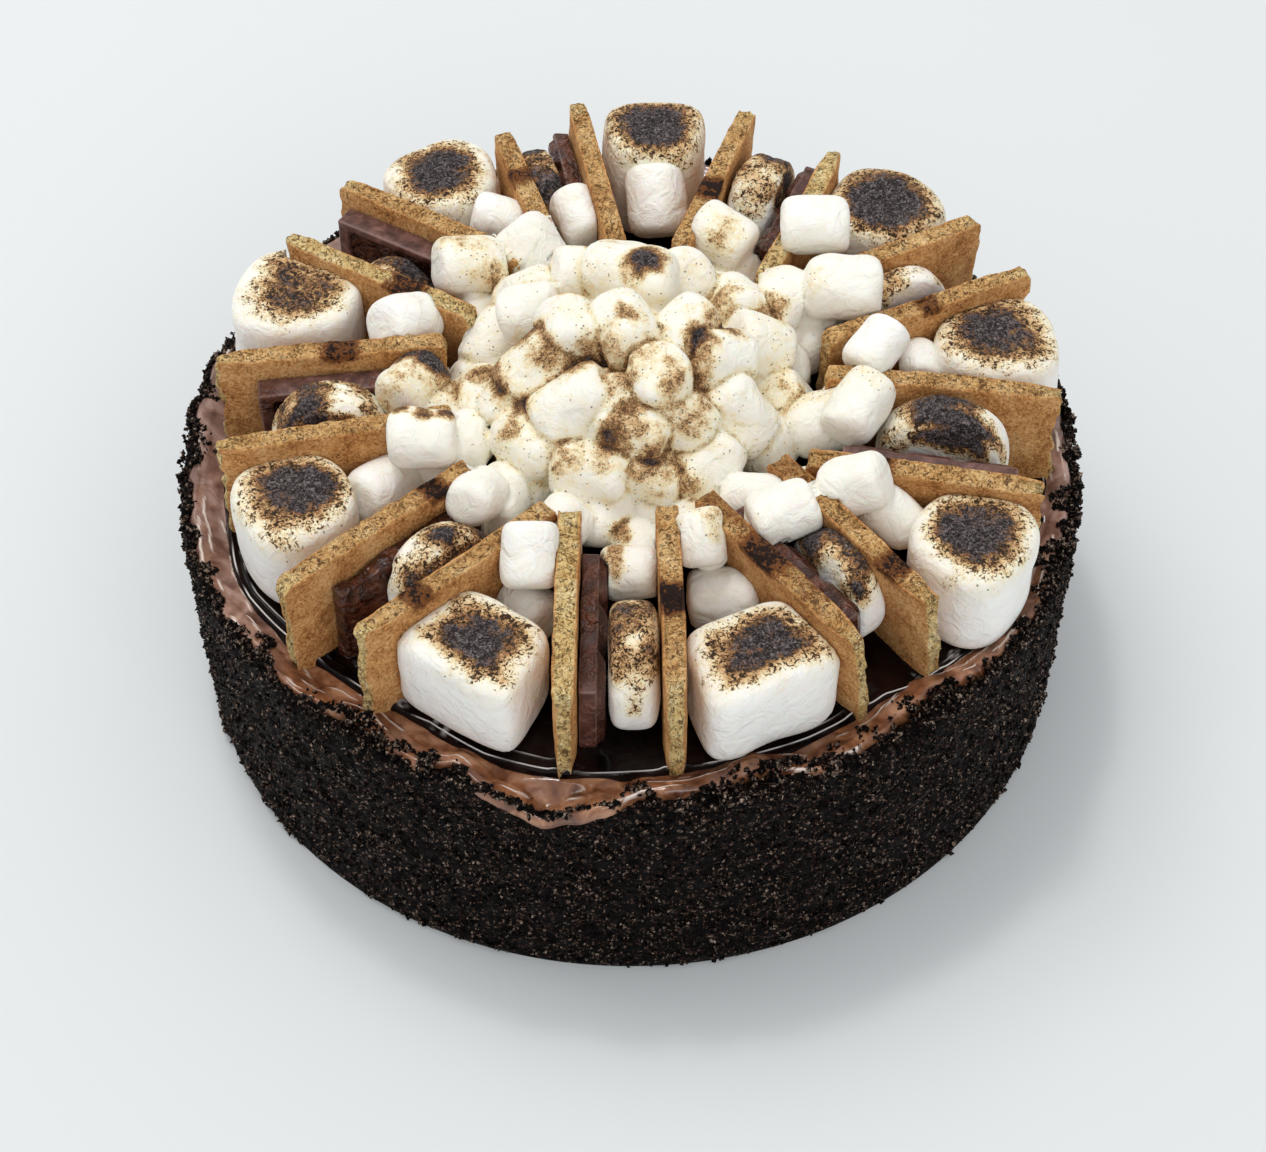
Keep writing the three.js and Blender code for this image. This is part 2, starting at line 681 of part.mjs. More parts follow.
const allCutters = [...firmCutters, ...miniCutters];
addPiece("mallow_heap", domeGeometry(allCutters), materials.mallow);
addPiece("crust", crustGeometry(), materials.crust);
addPiece("filling", geometryOf(cut(solidOf(fillingGeometry()), firmCutters)), materials.filling);
addPiece("ganache", geometryOf(cut(solidOf(ganacheGeometry()), allCutters)), materials.ganache);

export default cake;
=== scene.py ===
import math
from collections import namedtuple

import bpy
import numpy as np
from mathutils import Matrix, Vector


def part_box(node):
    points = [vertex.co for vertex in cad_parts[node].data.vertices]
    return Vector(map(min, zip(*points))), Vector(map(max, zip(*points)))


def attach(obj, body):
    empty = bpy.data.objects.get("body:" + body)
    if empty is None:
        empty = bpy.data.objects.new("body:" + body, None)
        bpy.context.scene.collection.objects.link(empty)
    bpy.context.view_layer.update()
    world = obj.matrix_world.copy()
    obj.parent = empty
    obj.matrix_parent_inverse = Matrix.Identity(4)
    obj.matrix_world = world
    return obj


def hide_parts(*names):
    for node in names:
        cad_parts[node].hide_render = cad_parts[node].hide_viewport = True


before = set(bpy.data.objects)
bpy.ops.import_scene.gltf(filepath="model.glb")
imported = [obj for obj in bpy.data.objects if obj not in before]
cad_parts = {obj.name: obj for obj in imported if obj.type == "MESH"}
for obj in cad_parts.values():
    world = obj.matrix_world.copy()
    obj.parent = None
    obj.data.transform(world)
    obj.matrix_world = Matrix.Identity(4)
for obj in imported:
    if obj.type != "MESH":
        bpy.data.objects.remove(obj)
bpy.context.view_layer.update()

# Lengths are in millimetres and angles in degrees until a mesh is made. An azimuth is counted from
# the front (-Y) towards +X. The last number of a call of noise, rough or cells is its seed.
MM = 0.001

# ---- The layout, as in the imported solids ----
CAKE_RADIUS = 114.3
CAKE_HEIGHT = 66.0
CRUST_WALL = 5.6
CRUST_BASE = 8.0
WALL_RADIUS = CAKE_RADIUS - 1.5  # the wall without its crumbs
CRUMB_RADIUS = 110.5  # the inner edge of the crumbs on the rim, where no table gives it
FILLING_CREST = 65.2
FILLING_FLAT = (95, 61)  # radius and height of the filling's flat middle
GANACHE_RADIUS = 103.2  # where no table gives it
GANACHE_BOTTOM = 61.3
GANACHE_TOP = 63.7
RESTING_LEVEL = 64.0  # where the marshmallows stand
CLEARANCE = 0.15  # between a marshmallow and the crackers and bars
NOTCH = {"azimuth": -10.0, "half_width": 13.0, "depth": 6.5}  # in the crust's rim
PIPS = {"count": 3, "base": 4.2, "margin": 1.6, "slope": 1.4}  # on a chocolate bar
LARGE_SWELL = 0.96  # an outline's sides against those of its squared circle
LARGE_WEDGE = 0.15  # how much narrower a large marshmallow is at its inner end
MINI = {"diameter": 13.4, "length": 15.5}
DOME = {"radius": 40.5, "height": 43.5, "shrink": 4.0, "centre_y": 5.0}
DOME_MINI = {"diameter": 17.0, "length": 18.5}

# How strongly each cracker's top is browned, and where it is burnt: share of its length, half-length.
TOASTED = {
    "a1": (0, 0, 0), "a2": (0.4, 0.5, 6.5), "b1": (0.45, 0.4, 9), "b2": (0.4, 0.75, 6), "c1": (0.3, 0.3, 6),
    "c2": (0.35, 0, 0), "d1": (0.25, 0.5, 5), "d2": (0.3, 0, 0), "e1": (0.3, 0, 0), "e2": (0.35, 0.4, 6),
    "f1": (0.3, 0, 0), "f2": (0.4, 0.6, 6), "g1": (0.25, 0, 0), "g2": (0.3, 0.35, 8), "h1": (0.35, 0.45, 8),
    "h2": (0.3, 0, 0), "i1": (0.3, 0.2, 5), "i2": (0.35, 0.7, 5),
}  # fmt: skip
# Crackers whose pale cut side faces up.
CUT_SIDE_UP = ("a1", "e1", "g2")
# How far each chocolate bar has melted.
MELT = {"a": 0.35, "b": 0.45, "c": 0.1, "d": 0.2, "e": 0.4, "f": 0.5, "g": 0.05, "h": 0.1, "i": 0.9}
# Bars whose hollow side shows instead of the pips.
FRAMED = "gh"
# Half marshmallows: diameter, sideways lean, and how strongly they are toasted.
HALVES = {
    "a": (28.5, 0, 0.7), "b": (28, 0, 0.62), "c": (32, 0, 0.7), "d": (27, 0, 0.55), "e": (28, 0, 0.8),
    "f": (27, 0, 0.95), "g": (23, -8, 0.95), "h": (29.5, -12, 0.85), "i": (29, -18, 0.85),
}  # fmt: skip
# Large marshmallows: azimuth, radius, size (along the radius, across and upwards), turn, squareness of
# the outline, and how strongly the top is toasted.
LARGE = {
    "ab": (18.8, 88.5, (26, 33, 24), 9, 4.8, 0.82), "bc": (57.5, 94.8, (30, 31.5, 26), 0, 2.4, 0.95),
    "cd": (100, 93.5, (33, 31, 25.5), -4, 2.3, 0.95), "de": (134.8, 94, (30, 32, 26), 4, 2.4, 1.15),
    "ef": (176, 91.5, (25, 27.5, 31), 4, 3.4, 1.15), "fg": (-147, 91.8, (29, 31, 27), -4, 2.4, 1),
    "gh": (-111, 91, (34, 34, 26), 8, 2.3, 0.8), "hi": (-64.5, 88, (30, 31, 25), 0, 2.5, 1),
    "ia": (-23, 88, (26, 32, 24), -11, 4.8, 0.86),
}  # fmt: skip
# Small marshmallows: azimuth, radius, height of the centre above the ganache, turn, raise, size.
LOOSE_MINIS = (
    (21, 61.5, 10, 70, 5, 1.1), (-21, 66.5, 12, 60, 5, 0.95), (-21, 64.5, 28, 20, -40, 1),
    (95.5, 60.8, 30.5, 45, 20, 0.95), (100, 74, 18, 80, 0, 0.78), (135.2, 67, 34, -45, 0, 1.12),
    (174.6, 76, 18, 10, 40, 1.2), (-168.5, 67, 21, 15, 15, 1), (-151.8, 72.5, 21, 50, 10, 0.95),
    (-109.2, 59.8, 26, 65, 25, 1.1), (-65.3, 65, 15, 20, 10, 1.15),
)  # fmt: skip
DOME_FOOT = (
    (0.2, 55.2, 16, 80, 10, 0.95), (3, 46, 11, 20, 0, 1.05), (17, 55.5, 26, -5, -40, 0.88),
    (19, 50, 20, 10, 10, 0.95), (22, 43, 15, 30, 10, 1), (37.7, 58.4, 27, 70, 10, 1.05),
    (40, 47.5, 20, 40, 10, 1.1), (53.5, 66, 29.5, 25, 30, 1.05), (56, 58, 16.5, 10, 20, 1.05),
    (58, 49, 10, 30, 10, 1.15), (57, 74.5, 19.5, 10, -40, 0.95), (78, 56.5, 27.5, 70, 15, 1.1),
    (80.5, 49, 19, 10, 20, 1.2), (117, 60, 31, -27, 0, 1.25), (125, 46, 27, 30, 0, 1.1),
    (118, 52, 16, 20, 10, 1.1), (154.7, 56.6, 27, 80, 10, 1.05), (150, 53.5, 16, 10, 10, 1.15),
    (-152, 53, 26, 15, 30, 1.15), (-156, 49, 16, 30, 10, 1.2), (-133, 56.4, 28, 60, 15, 1.15),
    (-131, 48.6, 17, 60, 20, 1.05), (-89.2, 53.8, 23.5, 60, 10, 1.1), (-86, 47, 16, 20, 20, 1.25),
    (-62.7, 55.7, 31, -27, 0, 1.1), (-66, 48, 21, 20, 10, 1.2), (-42.8, 53, 25, 20, 20, 0.95),
    (-44, 45, 16, 20, 10, 1.15), (-20.5, 47, 19, 0, 10, 1),
)  # fmt: skip
# The dome's small marshmallows: degrees down from its top, azimuth, degrees that the axis is turned
# from straight down the slope, degrees that its lower end stands off, size, stretch.
DOME_MINIS = (
    (24, 180, 68, 0, 0.95, 1.4), (46, 152, 20, 0, 0.95, 1), (36, -150, 80, 20, 0.95, 0.9),
    (22, -72, 88, 10, 0.95, 1), (9, -12, 35, 0, 0.92, 1), (20, 72, 70, 15, 0.85, 1),
    (31, 20, 200, 70, 0.98, 1), (40, -30, -36, 0, 1, 1.15), (38, -64, 0, 0, 0.95, 1.1),
    (35, 66, 42, 0, 0.95, 1), (52, 98, 0, 20, 0.95, 1), (44, 3, 65, 0, 0.9, 0.95),
    (52, 55, 5, 0, 0.93, 1.2), (40, -112, 20, 20, 0.9, 0.9), (51, -62, 10, 10, 0.9, 0.9),
    (64, -76, 75, 0, 0.95, 1.1), (59, -15, 85, 0, 1, 1), (71, -10, 0, 30, 1.05, 1),
    (61, 30, 120, 0, 0.97, 1.05), (60, 9, 60, 10, 0.8, 1), (43, 27, 30, 0, 0.85, 1),
    (37, -8, 0, 0, 0.85, 1), (57, -44, 90, 0, 1, 1), (74, -41, 130, 0, 0.92, 1), (76, 8, 0, 20, 0.85, 1),
    (68, 62, 60, 0, 0.9, 1), (68, 84, 20, 0, 0.95, 1), (62, -110, 60, 0, 0.95, 1), (52, 124, 60, 0, 1, 1),
    (52, -130, 10, 10, 1, 1), (52, -176, 120, 0, 1, 1), (72, 104, 40, 0, 1, 1), (72, 124, 100, 20, 1, 1),
    (72, 146, 20, 0, 1, 1), (72, 167, 70, 10, 1, 1), (72, -172, 150, 0, 1, 1), (72, -150, 30, 20, 1, 1),
    (72, -128, 110, 0, 1, 1), (74, -92, 60, 0, 1, 1),
)  # fmt: skip
# Browned and burnt spots on the dome: degrees down from its top, azimuth, radius, heat.
DOME_SPOTS = (
    (18, 166, 2.8, 1.4), (32, -176, 1.4, 1.35), (22, -121, 1.8, 1), (19, -106, 1.8, 0.95), (10, 0, 1.7, 1),
    (19, -23, 2.6, 0.7), (28, -39, 2.2, 0.95), (25, -33, 2.6, 1.05), (22, -26, 1.8, 0.9),
    (25, 58, 2.4, 1.3), (29, 50, 2.3, 1.1), (33, 42, 2.3, 1.1), (38, 39, 2, 0.9), (31, -56, 2.6, 0.8),
    (33, -76, 2.6, 1.1), (41, -83, 3, 0.95), (46, -69, 2.2, 0.85), (48, -61, 2, 0.9), (48, -50, 2, 0.85),
    (55, -82, 2.2, 1), (63, -81, 3, 0.75), (28, 26, 1.8, 0.8), (32, 25, 2, 0.95), (34, 19, 1.7, 0.85),
    (22, 14, 3, 0.6), (25, -1, 1.6, 0.75), (29, -7, 2.4, 0.85), (39, 1, 2.3, 0.75), (43, 1, 2.3, 0.8),
    (47, -6, 2.8, 1.2), (49, -3, 2, 1.05), (54, -22, 2.8, 0.7), (58, -24, 2, 0.7), (52, -9, 2.8, 0.75),
    (54, 7, 2.7, 1.15), (57, 3, 2, 0.9), (57, 14, 3, 0.8), (63, 20, 2.8, 0.8), (60, 7, 3, 0.65),
    (43, 30, 2.6, 0.85), (45, 25, 2, 0.75), (31, 79, 2.6, 0.95), (36, 91, 2, 0.85), (24, 76, 2.6, 0.8),
    (38, 122, 2.5, 0.75), (30, 97, 2.3, 0.7), (40, -160, 3.2, 0.9), (38, 175, 3.6, 0.65),
    (51, 68, 3.6, 0.55), (72, -3, 1.5, 1.1), (70, -79, 2, 0.95), (55, -47, 2, 0.7), (49, 11, 3.4, 0.55),
    (61, 79, 3, 0.5), (55, 150, 3, 0.8), (60, -130, 3, 0.8), (50, 110, 2.5, 0.9), (62, 128, 3, 0.7),
    (58, 176, 3, 0.75),
)  # fmt: skip
# Burnt spots on the small marshmallows at the dome's foot: x, y, z, radius, heat.
FOOT_SPOTS = (
    (-48.5, 4, 92.5, 5.5, 1.3), (-54, 6, 93, 4, 1.2), (-55, -22, 102, 3, 0.95), (-49, -23, 102.5, 3, 1),
    (-43, -22, 102, 3.4, 1.05), (-41, -19, 99, 3, 1),
)  # fmt: skip
# Where the crumbs end and the filling shows, and where the ganache ends: azimuth, radius.
CRUMB_EDGE = (
    (-62, 112.5), (-52, 111), (-45, 112), (-35, 108.5), (-26, 112.5), (-22, 109), (-17, 113.5), (-3, 114),
    (1, 110), (12, 109), (16, 107), (23, 112), (30, 109.5), (41, 105.5), (48, 110), (60, 112),
)  # fmt: skip
GANACHE_EDGE = (
    (-62, 105), (-42, 100.5), (-28, 99.8), (-19, 103), (-8, 103.8), (0, 102.6), (12, 101.6), (24, 101.5),
    (37, 99.8), (43, 103), (57, 105.5), (67, 108), (86, 104.7),
)  # fmt: skip
# Bubbles in the ganache: azimuth, radius, half-width.
BUBBLES = (
    (-26.5, 99.2, 1.9), (-33, 97.5, 0.9), (12, 97, 0.8), (49, 101.5, 0.9), (-70, 100, 1.2), (110, 99, 1.3),
)  # fmt: skip
# Thin raised lines in the filling's margin, with a painted highlight along them: distance in from the crumbs,
# and how far they wander.
CREST_LINES = ((1.3, 0.9), (4.2, 1.8), (7.0, 1.6))


# ---- Vectors, turns and curves ----
def at(azimuth, radius, z=0.0):
    """A point by azimuth, radius and height, each a number or an array."""
    a = np.radians(azimuth)
    return np.stack(np.broadcast_arrays(radius * np.sin(a), -radius * np.cos(a), z), axis=-1)


def azimuth_of(p):
    return np.degrees(np.arctan2(p[..., 0], -p[..., 1]))


def away(a, b):
    """The smallest angle between two azimuths."""
    return np.abs((a - b + 180) % 360 - 180)


def turn_about(axis, degrees):
    return np.array(Matrix.Rotation(math.radians(degrees), 3, axis))


def facing(azimuth):
    """Axes with X outwards along the azimuth and Y towards growing azimuth."""
    return turn_about("Z", azimuth - 90)


def smoothstep(x, low, high):
    """0 at low, 1 at high, and soft in between. low may be the larger one."""
    t = np.clip((x - low) / (high - low), 0, 1)
    return t * t * (3 - 2 * t)


def bell(x, width):
    """1 where x is 0, fading out on both sides."""
    return np.exp(-((x / width) ** 2))


# ---- Repeatable noise ----
def lattice_draw(i, j, k, seed):
    """A number from 0 to 1 for each cell of a lattice."""
    h = (i * 73856093) ^ (j * 19349663) ^ (k * 83492791) ^ (seed * 2654435761)
    h = h & 0xFFFFFFFF
    for _ in range(2):
        h = ((h ^ (h >> 16)) * 0x45D9F3B) & 0xFFFFFFFF
    return ((h ^ (h >> 16)) & 0xFFFFFF) / 0xFFFFFF


def noise(p, scale, seed=0):
    """Smooth noise from -1 to 1 whose lumps are about scale across."""
    q = p / scale
    cell = np.floor(q).astype(np.int64)
    f = q - cell
    f = f * f * (3 - 2 * f)
    total = np.zeros(len(p))
    for corner in np.ndindex(2, 2, 2):
        weight = np.ones(len(p))
        for axis, side in enumerate(corner):
            weight *= f[:, axis] if side else 1 - f[:, axis]
        i, j, k = (cell[:, axis] + corner[axis] for axis in range(3))
        total += weight * lattice_draw(i, j, k, seed)
    return 2 * total - 1


def rough(p, scale, octaves, seed):
    """Noise with finer and weaker lumps on it."""
    return sum(noise(p, scale / 2**n, seed + n) / 2**n for n in range(octaves))


def cells(p, scale, seed):
    """How far the nearest of scattered points is, which lie about scale apart."""
    q = p / scale
    cell = np.floor(q).astype(np.int64)
    nearest = np.full(len(p), 9.0)
    for step in np.ndindex(3, 3, 3):
        i, j, k = (cell[:, axis] + step[axis] - 1 for axis in range(3))
        x, y, z = (lattice_draw(i, j, k, seed + 11 * axis) for axis in range(3))
        d = np.sqrt((i + x - q[:, 0]) ** 2 + (j + y - q[:, 1]) ** 2 + (k + z - q[:, 2]) ** 2)
        nearest = np.minimum(nearest, d)
    return nearest * scale


# ---- Meshes ----
def mark_points(mesh, **marks):
    """Keeps named values for each point, which the materials read."""
    for mark, values in marks.items():
        layer = mesh.attributes.new(mark, "FLOAT", "POINT")
        layer.data.foreach_set("value", np.asarray(values, dtype=np.float32))


# A material, and the record's slot that it stands for.
Finish = namedtuple("Finish", "slot material")


def make_piece(name, points, faces, finish, node=None, smooth=True, **marks):
    """A piece that may stand for a node. faces holds an array for each count of corners."""
    mesh = bpy.data.meshes.new(name)
    loops = np.concatenate([group.ravel() for group in faces]).astype(np.int32)
    sizes = np.concatenate([np.full(len(group), group.shape[1]) for group in faces])
    starts = np.concatenate([[0], np.cumsum(sizes)[:-1]]).astype(np.int32)
    mesh.vertices.add(len(points))
    mesh.vertices.foreach_set("co", (points * MM).astype(np.float32).ravel())
    mesh.loops.add(len(loops))
    mesh.loops.foreach_set("vertex_index", loops)
    mesh.polygons.add(len(sizes))
    mesh.polygons.foreach_set("loop_start", starts)
    mesh.polygons.foreach_set("use_smooth", np.full(len(sizes), smooth))
    mesh.update(calc_edges=True)
    mesh.validate()
    mesh.materials.append(finish.material)
    mark_points(mesh, **marks)
    piece = bpy.data.objects.new(name, mesh)
    bpy.context.scene.collection.objects.link(piece)
    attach(piece, "root")
    if node:
        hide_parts(node)
    return piece


def vectors_of(items, key):
    """A vector of each item, such as a vertex's place, as an array."""
    flat = np.empty(3 * len(items), dtype=np.float32)
    items.foreach_get(key, flat)
    return flat.reshape(-1, 3).astype(float)


def move_points(mesh, points):
    mesh.vertices.foreach_set("co", (points * MM).astype(np.float32).ravel())
    mesh.update()


def fuse(piece, voxel):
    """Fuses overlapping closed bodies into one skin of even squares."""
    remesh = piece.modifiers.new("fuse", "REMESH")
    remesh.mode = "VOXEL"
    remesh.voxel_size = voxel * MM
    remesh.use_smooth_shade = True
    fused = piece.evaluated_get(bpy.context.evaluated_depsgraph_get())
    apart = piece.data
    mesh = bpy.data.meshes.new_from_object(fused)
    piece.modifiers.clear()
    piece.data = mesh
    bpy.data.meshes.remove(apart)


def relax(mesh, share=0.5):
    """Moves each point towards the mean of its neighbours, and returns the points."""
    edges = np.empty(2 * len(mesh.edges), dtype=np.int32)
    mesh.edges.foreach_get("vertices", edges)
    a, b = edges.reshape(-1, 2).T
    points = vectors_of(mesh.vertices, "co") / MM
    count = len(points)
    neighbours = np.bincount(a, minlength=count) + np.bincount(b, minlength=count)
    totals = [np.bincount(a, p[b], count) + np.bincount(b, p[a], count) for p in points.T]
    points += share * (np.stack(totals, axis=-1) / neighbours[:, None] - points)
    move_points(mesh, points)
    return points


def lathe(profile, around):
    """A profile of (r, z) from axis to axis, turned about Z: points, squares and triangles."""
    angles = np.arange(around) / around * 2 * np.pi
    ring = np.stack([np.cos(angles), np.sin(angles), np.zeros(around)], axis=-1)
    rings = [r * ring + (0, 0, z) for r, z in profile[1:-1]]
    points = np.concatenate([[(0, 0, profile[0][1])], *rings, [(0, 0, profile[-1][1])]])
    low = np.arange(1, len(points) - 1).reshape(-1, around)
    next_low = np.roll(low, -1, axis=1)
    squares = np.stack([low[:-1], next_low[:-1], next_low[1:], low[1:]], axis=-1).reshape(-1, 4)
    start = np.stack([np.zeros(around, dtype=int), next_low[0], low[0]], axis=-1)
    end = np.stack([low[-1], next_low[-1], np.full(around, len(points) - 1)], axis=-1)
    return points, [squares, np.concatenate([start, end])]


def even_profile(corners, step):
    """A profile through the corners with a point about every step."""
    points = [np.asarray(corners[0], dtype=float)]
    for a, b in zip(corners, corners[1:]):
        a, b = np.asarray(a, dtype=float), np.asarray(b, dtype=float)
        count = max(1, round(np.linalg.norm(b - a) / step))
        points += [a + (b - a) * k / count for k in range(1, count + 1)]
    return points


def spaced(length, step, edge):
    """Grid lines from 0 to length, closer together near both ends."""
    inner = np.linspace(edge, length - edge, max(2, round((length - 2 * edge) / step) + 1))
    return np.concatenate([[0, edge / 2], inner, [length - edge / 2, length]])


def grid_box(*lines):
    """The skin of a box as a closed grid: points and squares."""
    shell = np.ones([len(line) for line in lines], dtype=bool)
    shell[1:-1, 1:-1, 1:-1] = False
    index = np.full(shell.shape, -1)
    index[shell] = np.arange(shell.sum())
    squares = []
    for axis in range(3):
        for end in (0, -1):
            face = np.take(index, end, axis=axis)
            square = np.stack([face[:-1, :-1], face[1:, :-1], face[1:, 1:], face[:-1, 1:]], axis=-1)
            square = square.reshape(-1, 4)
            outwards = (end == -1) == (axis != 1)
            squares.append(square if outwards else square[:, ::-1])
    points = [line[place] for line, place in zip(lines, np.nonzero(shell))]
    return np.stack(points, axis=-1), [np.concatenate(squares)]


def rounded_box(size, step, edge, rounding):
    """A grid over a box with rounded edges: points, faces, and the way that each point faces."""
    points, faces = grid_box(*(spaced(extent, step, edge) for extent in size))
    inner = np.clip(points, rounding, size - rounding)
    out = points - inner
    out /= np.linalg.norm(out, axis=1, keepdims=True)
    return inner + rounding * out, faces, out


# ---- Materials ----
def rgb(red, green, blue):
    """A colour as seen on a screen, 0 to 255, as the shader's linear light."""
    linear = [c / 3294.6 if c <= 10 else ((c / 255 + 0.055) / 1.055) ** 2.4 for c in (red, green, blue)]
    return (*linear, 1.0)


def grey(light):
    return (light, light, light, 1.0)


class Paint:
    """A material under construction: a principled shader and the nodes that feed it.

    Sizes are in millimetres. A value is a number, a colour or a node's output.
    """

    def __init__(self, name, **constants):
        self.material = bpy.data.materials.new(name)
        self.material.use_nodes = True
        self.tree = self.material.node_tree
        self.give(**constants)
        self.place = self.node("TexCoord")["Object"]
        self.relief = None

    def feed(self, socket, value):
        if isinstance(value, bpy.types.NodeSocket):
            self.tree.links.new(value, socket)
        else:
            socket.default_value = value

    def node(self, kind, inputs=None, **settings):
        """Adds a node, feeds its inputs, and returns its outputs, all by name or number."""
        made = self.tree.nodes.new("ShaderNode" + kind)
        for setting, value in settings.items():
            setattr(made, setting, value)
        for socket, value in (inputs or {}).items():
            self.feed(made.inputs[socket], value)
        return made.outputs

    def give(self, **sockets):
        """Feeds the shader, where _ stands for a space in a socket's name."""
        shader = self.tree.nodes["Principled BSDF"]
        for socket, value in sockets.items():
            self.feed(shader.inputs[socket.replace("_", " ")], value)

    def finish(self, **sockets):
        self.give(Base_Color=self.colour, Normal=self.relief, **sockets)
        return self.material

    def mark(self, name):
        """The values that mark_points kept."""
        return self.node("Attribute", attribute_name=name)["Fac"]

    def calc(self, operation, a, b=0.0):
        return self.node("Math", {0: a, 1: b}, operation=operation)[0]

    def times(self, a, b):
        return self.calc("MULTIPLY", a, b)

    def total(self, *values):
        result = values[0]
        for value in values[1:]:
            result = self.calc("ADD", result, value)
        return result

    def centred(self, value, share):
        """A noise value as a push up or down."""
        return self.times(self.calc("SUBTRACT", value, 0.5), share)

    def between(self, value, low, high):
        """0 at low, 1 at high. low may be the larger one."""
        inputs = {"Value": value, "From Min": low, "From Max": high}
        return self.node("MapRange", inputs, interpolation_type="SMOOTHSTEP")["Result"]

    def noise(self, size, detail=3.0, roughness=0.55, distortion=0.0):
        """Noise from 0 to 1 with lumps about size across."""
        inputs = {"Vector": self.place, "Scale": 1 / (size * MM), "Detail": detail}
        return self.node("TexNoise", inputs | {"Roughness": roughness, "Distortion": distortion})["Fac"]

    def veins(self, size, width, distortion):
        """Thin wandering lines."""
        middle = self.calc("ABSOLUTE", self.calc("SUBTRACT", self.noise(size, 3, 0.6, distortion), 0.5))
        return self.between(middle, width, width * 0.3)

    def cells(self, size):
        """The distance to the nearest of points scattered about size apart, and a draw for that point."""
        nearest = self.node("TexVoronoi", {"Vector": self.place, "Scale": 1 / (size * MM)})
        return nearest["Distance"], self.node("SeparateColor", {"Color": nearest["Color"]})[0]

    def dots(self, size, reach, share):
        """Ragged dots in a share of the cells, out to reach of a cell's size."""
        distance, draw = self.cells(size)
        return self.times(self.between(distance, reach, reach * 0.55), self.calc("LESS_THAN", draw, share))

    def warp(self, size, amount):
        """Bends the places that the later nodes read, so that their patterns come out ragged."""
        bend = self.node("TexNoise", {"Vector": self.place, "Scale": 1 / (size * MM)})["Color"]
        inputs = {0: bend, 1: (2 * amount * MM,) * 3, 2: self.place}
        self.place = self.node("VectorMath", inputs, operation="MULTIPLY_ADD")[0]

    def mix(self, share, a, b):
        return self.node("Mix", {"Factor": share, 6: a, 7: b}, data_type="RGBA")[2]

    def ramp(self, value, *stops):
        """Colours by value, each stop a value and its colour."""
        colour = self.node("ValToRGB", {"Fac": value})["Color"]
        elements = colour.node.color_ramp.elements
        while len(elements) < len(stops):
            elements.new(0.5)
        for element, (position, light) in zip(elements, stops):
            element.position, element.color = position, light
        return colour

    def coat(self, share, colour):
        """Lays a colour over a share of the surface."""
        self.colour = self.mix(share, self.colour, colour)

    def emboss(self, height, depth):
        """Adds relief, whose height from 0 to 1 stands for depth."""
        inputs = {"Height": height, "Distance": depth * MM, "Strength": 1.0}
        if self.relief:
            inputs["Normal"] = self.relief
        self.relief = self.node("Bump", inputs)["Normal"]


def crumb_material():
    paint = Paint("dark_crumbs", Roughness=0.55, Specular_IOR_Level=0.08)
    clumps = paint.noise(5, 3, 0.6)
    paint.warp(0.7, 0.3)
    coarse, coarse_draw = paint.cells(0.95)
    fine, fine_draw = paint.cells(0.45)
    tone = paint.total(paint.times(coarse_draw, 0.7), paint.times(fine_draw, 0.4), paint.mark("tone"))
    # Tone is partly the crumbs' own lighter and darker colour; its brightest stops are painted highlights
    # that stand in for glints on the grains.
    dark = ((0.3, rgb(12, 5, 3)), (0.5, rgb(46, 27, 20)))
    paint.colour = paint.ramp(tone, *dark, (0.7, rgb(104, 80, 68)), (0.9, rgb(186, 164, 146)))
    # Painted shade: the rims of the grains, where they meet, are darkened as if shade fell in the gaps
    # between them.
    gap = paint.calc("MAXIMUM", paint.between(coarse, 0.42, 0.68), paint.between(fine, 0.5, 0.8))
    paint.coat(gap, rgb(5, 3, 3))
    paint.coat(paint.times(paint.between(clumps, 0.5, 0.66), 0.5), rgb(9, 6, 5))
    paint.emboss(paint.between(coarse, 0.75, 0.1), 0.55)
    paint.emboss(paint.between(fine, 0.7, 0.1), 0.25)
    return paint.finish()


def filling_material():
    paint = Paint("milk_chocolate_cream", Roughness=0.15, Specular_IOR_Level=0.7)
    flow = paint.noise(6, 3, 0.5, 0.8)
    warm = paint.ramp(flow, (0.34, rgb(96, 56, 34)), (0.5, rgb(142, 92, 62)), (0.64, rgb(176, 128, 96)))
    mauve = paint.ramp(flow, (0.34, rgb(108, 76, 66)), (0.5, rgb(146, 112, 98)), (0.64, rgb(172, 142, 130)))
    paint.colour = paint.mix(paint.mark("mauve"), warm, mauve)
    paint.coat(paint.mark("under"), rgb(82, 46, 31))
    # Painted highlight along the raised crest lines.
    paint.coat(paint.mark("crest"), rgb(244, 228, 216))
    paint.emboss(paint.noise(2.4, 2, 0.5), 0.12)
    return paint.finish()


def ganache_material():
    paint = Paint("dark_ganache", Roughness=0.09, Specular_IOR_Level=0.2)
    paint.colour = paint.ramp(paint.noise(9, 2, 0.5), (0.4, rgb(9, 4, 3)), (0.62, rgb(27, 14, 11)))
    # Painted highlight on the beads and the bubble rims.
    paint.coat(paint.mark("crest"), rgb(226, 222, 218))
    paint.emboss(paint.noise(7, 2, 0.4), 0.1)
    return paint.finish()


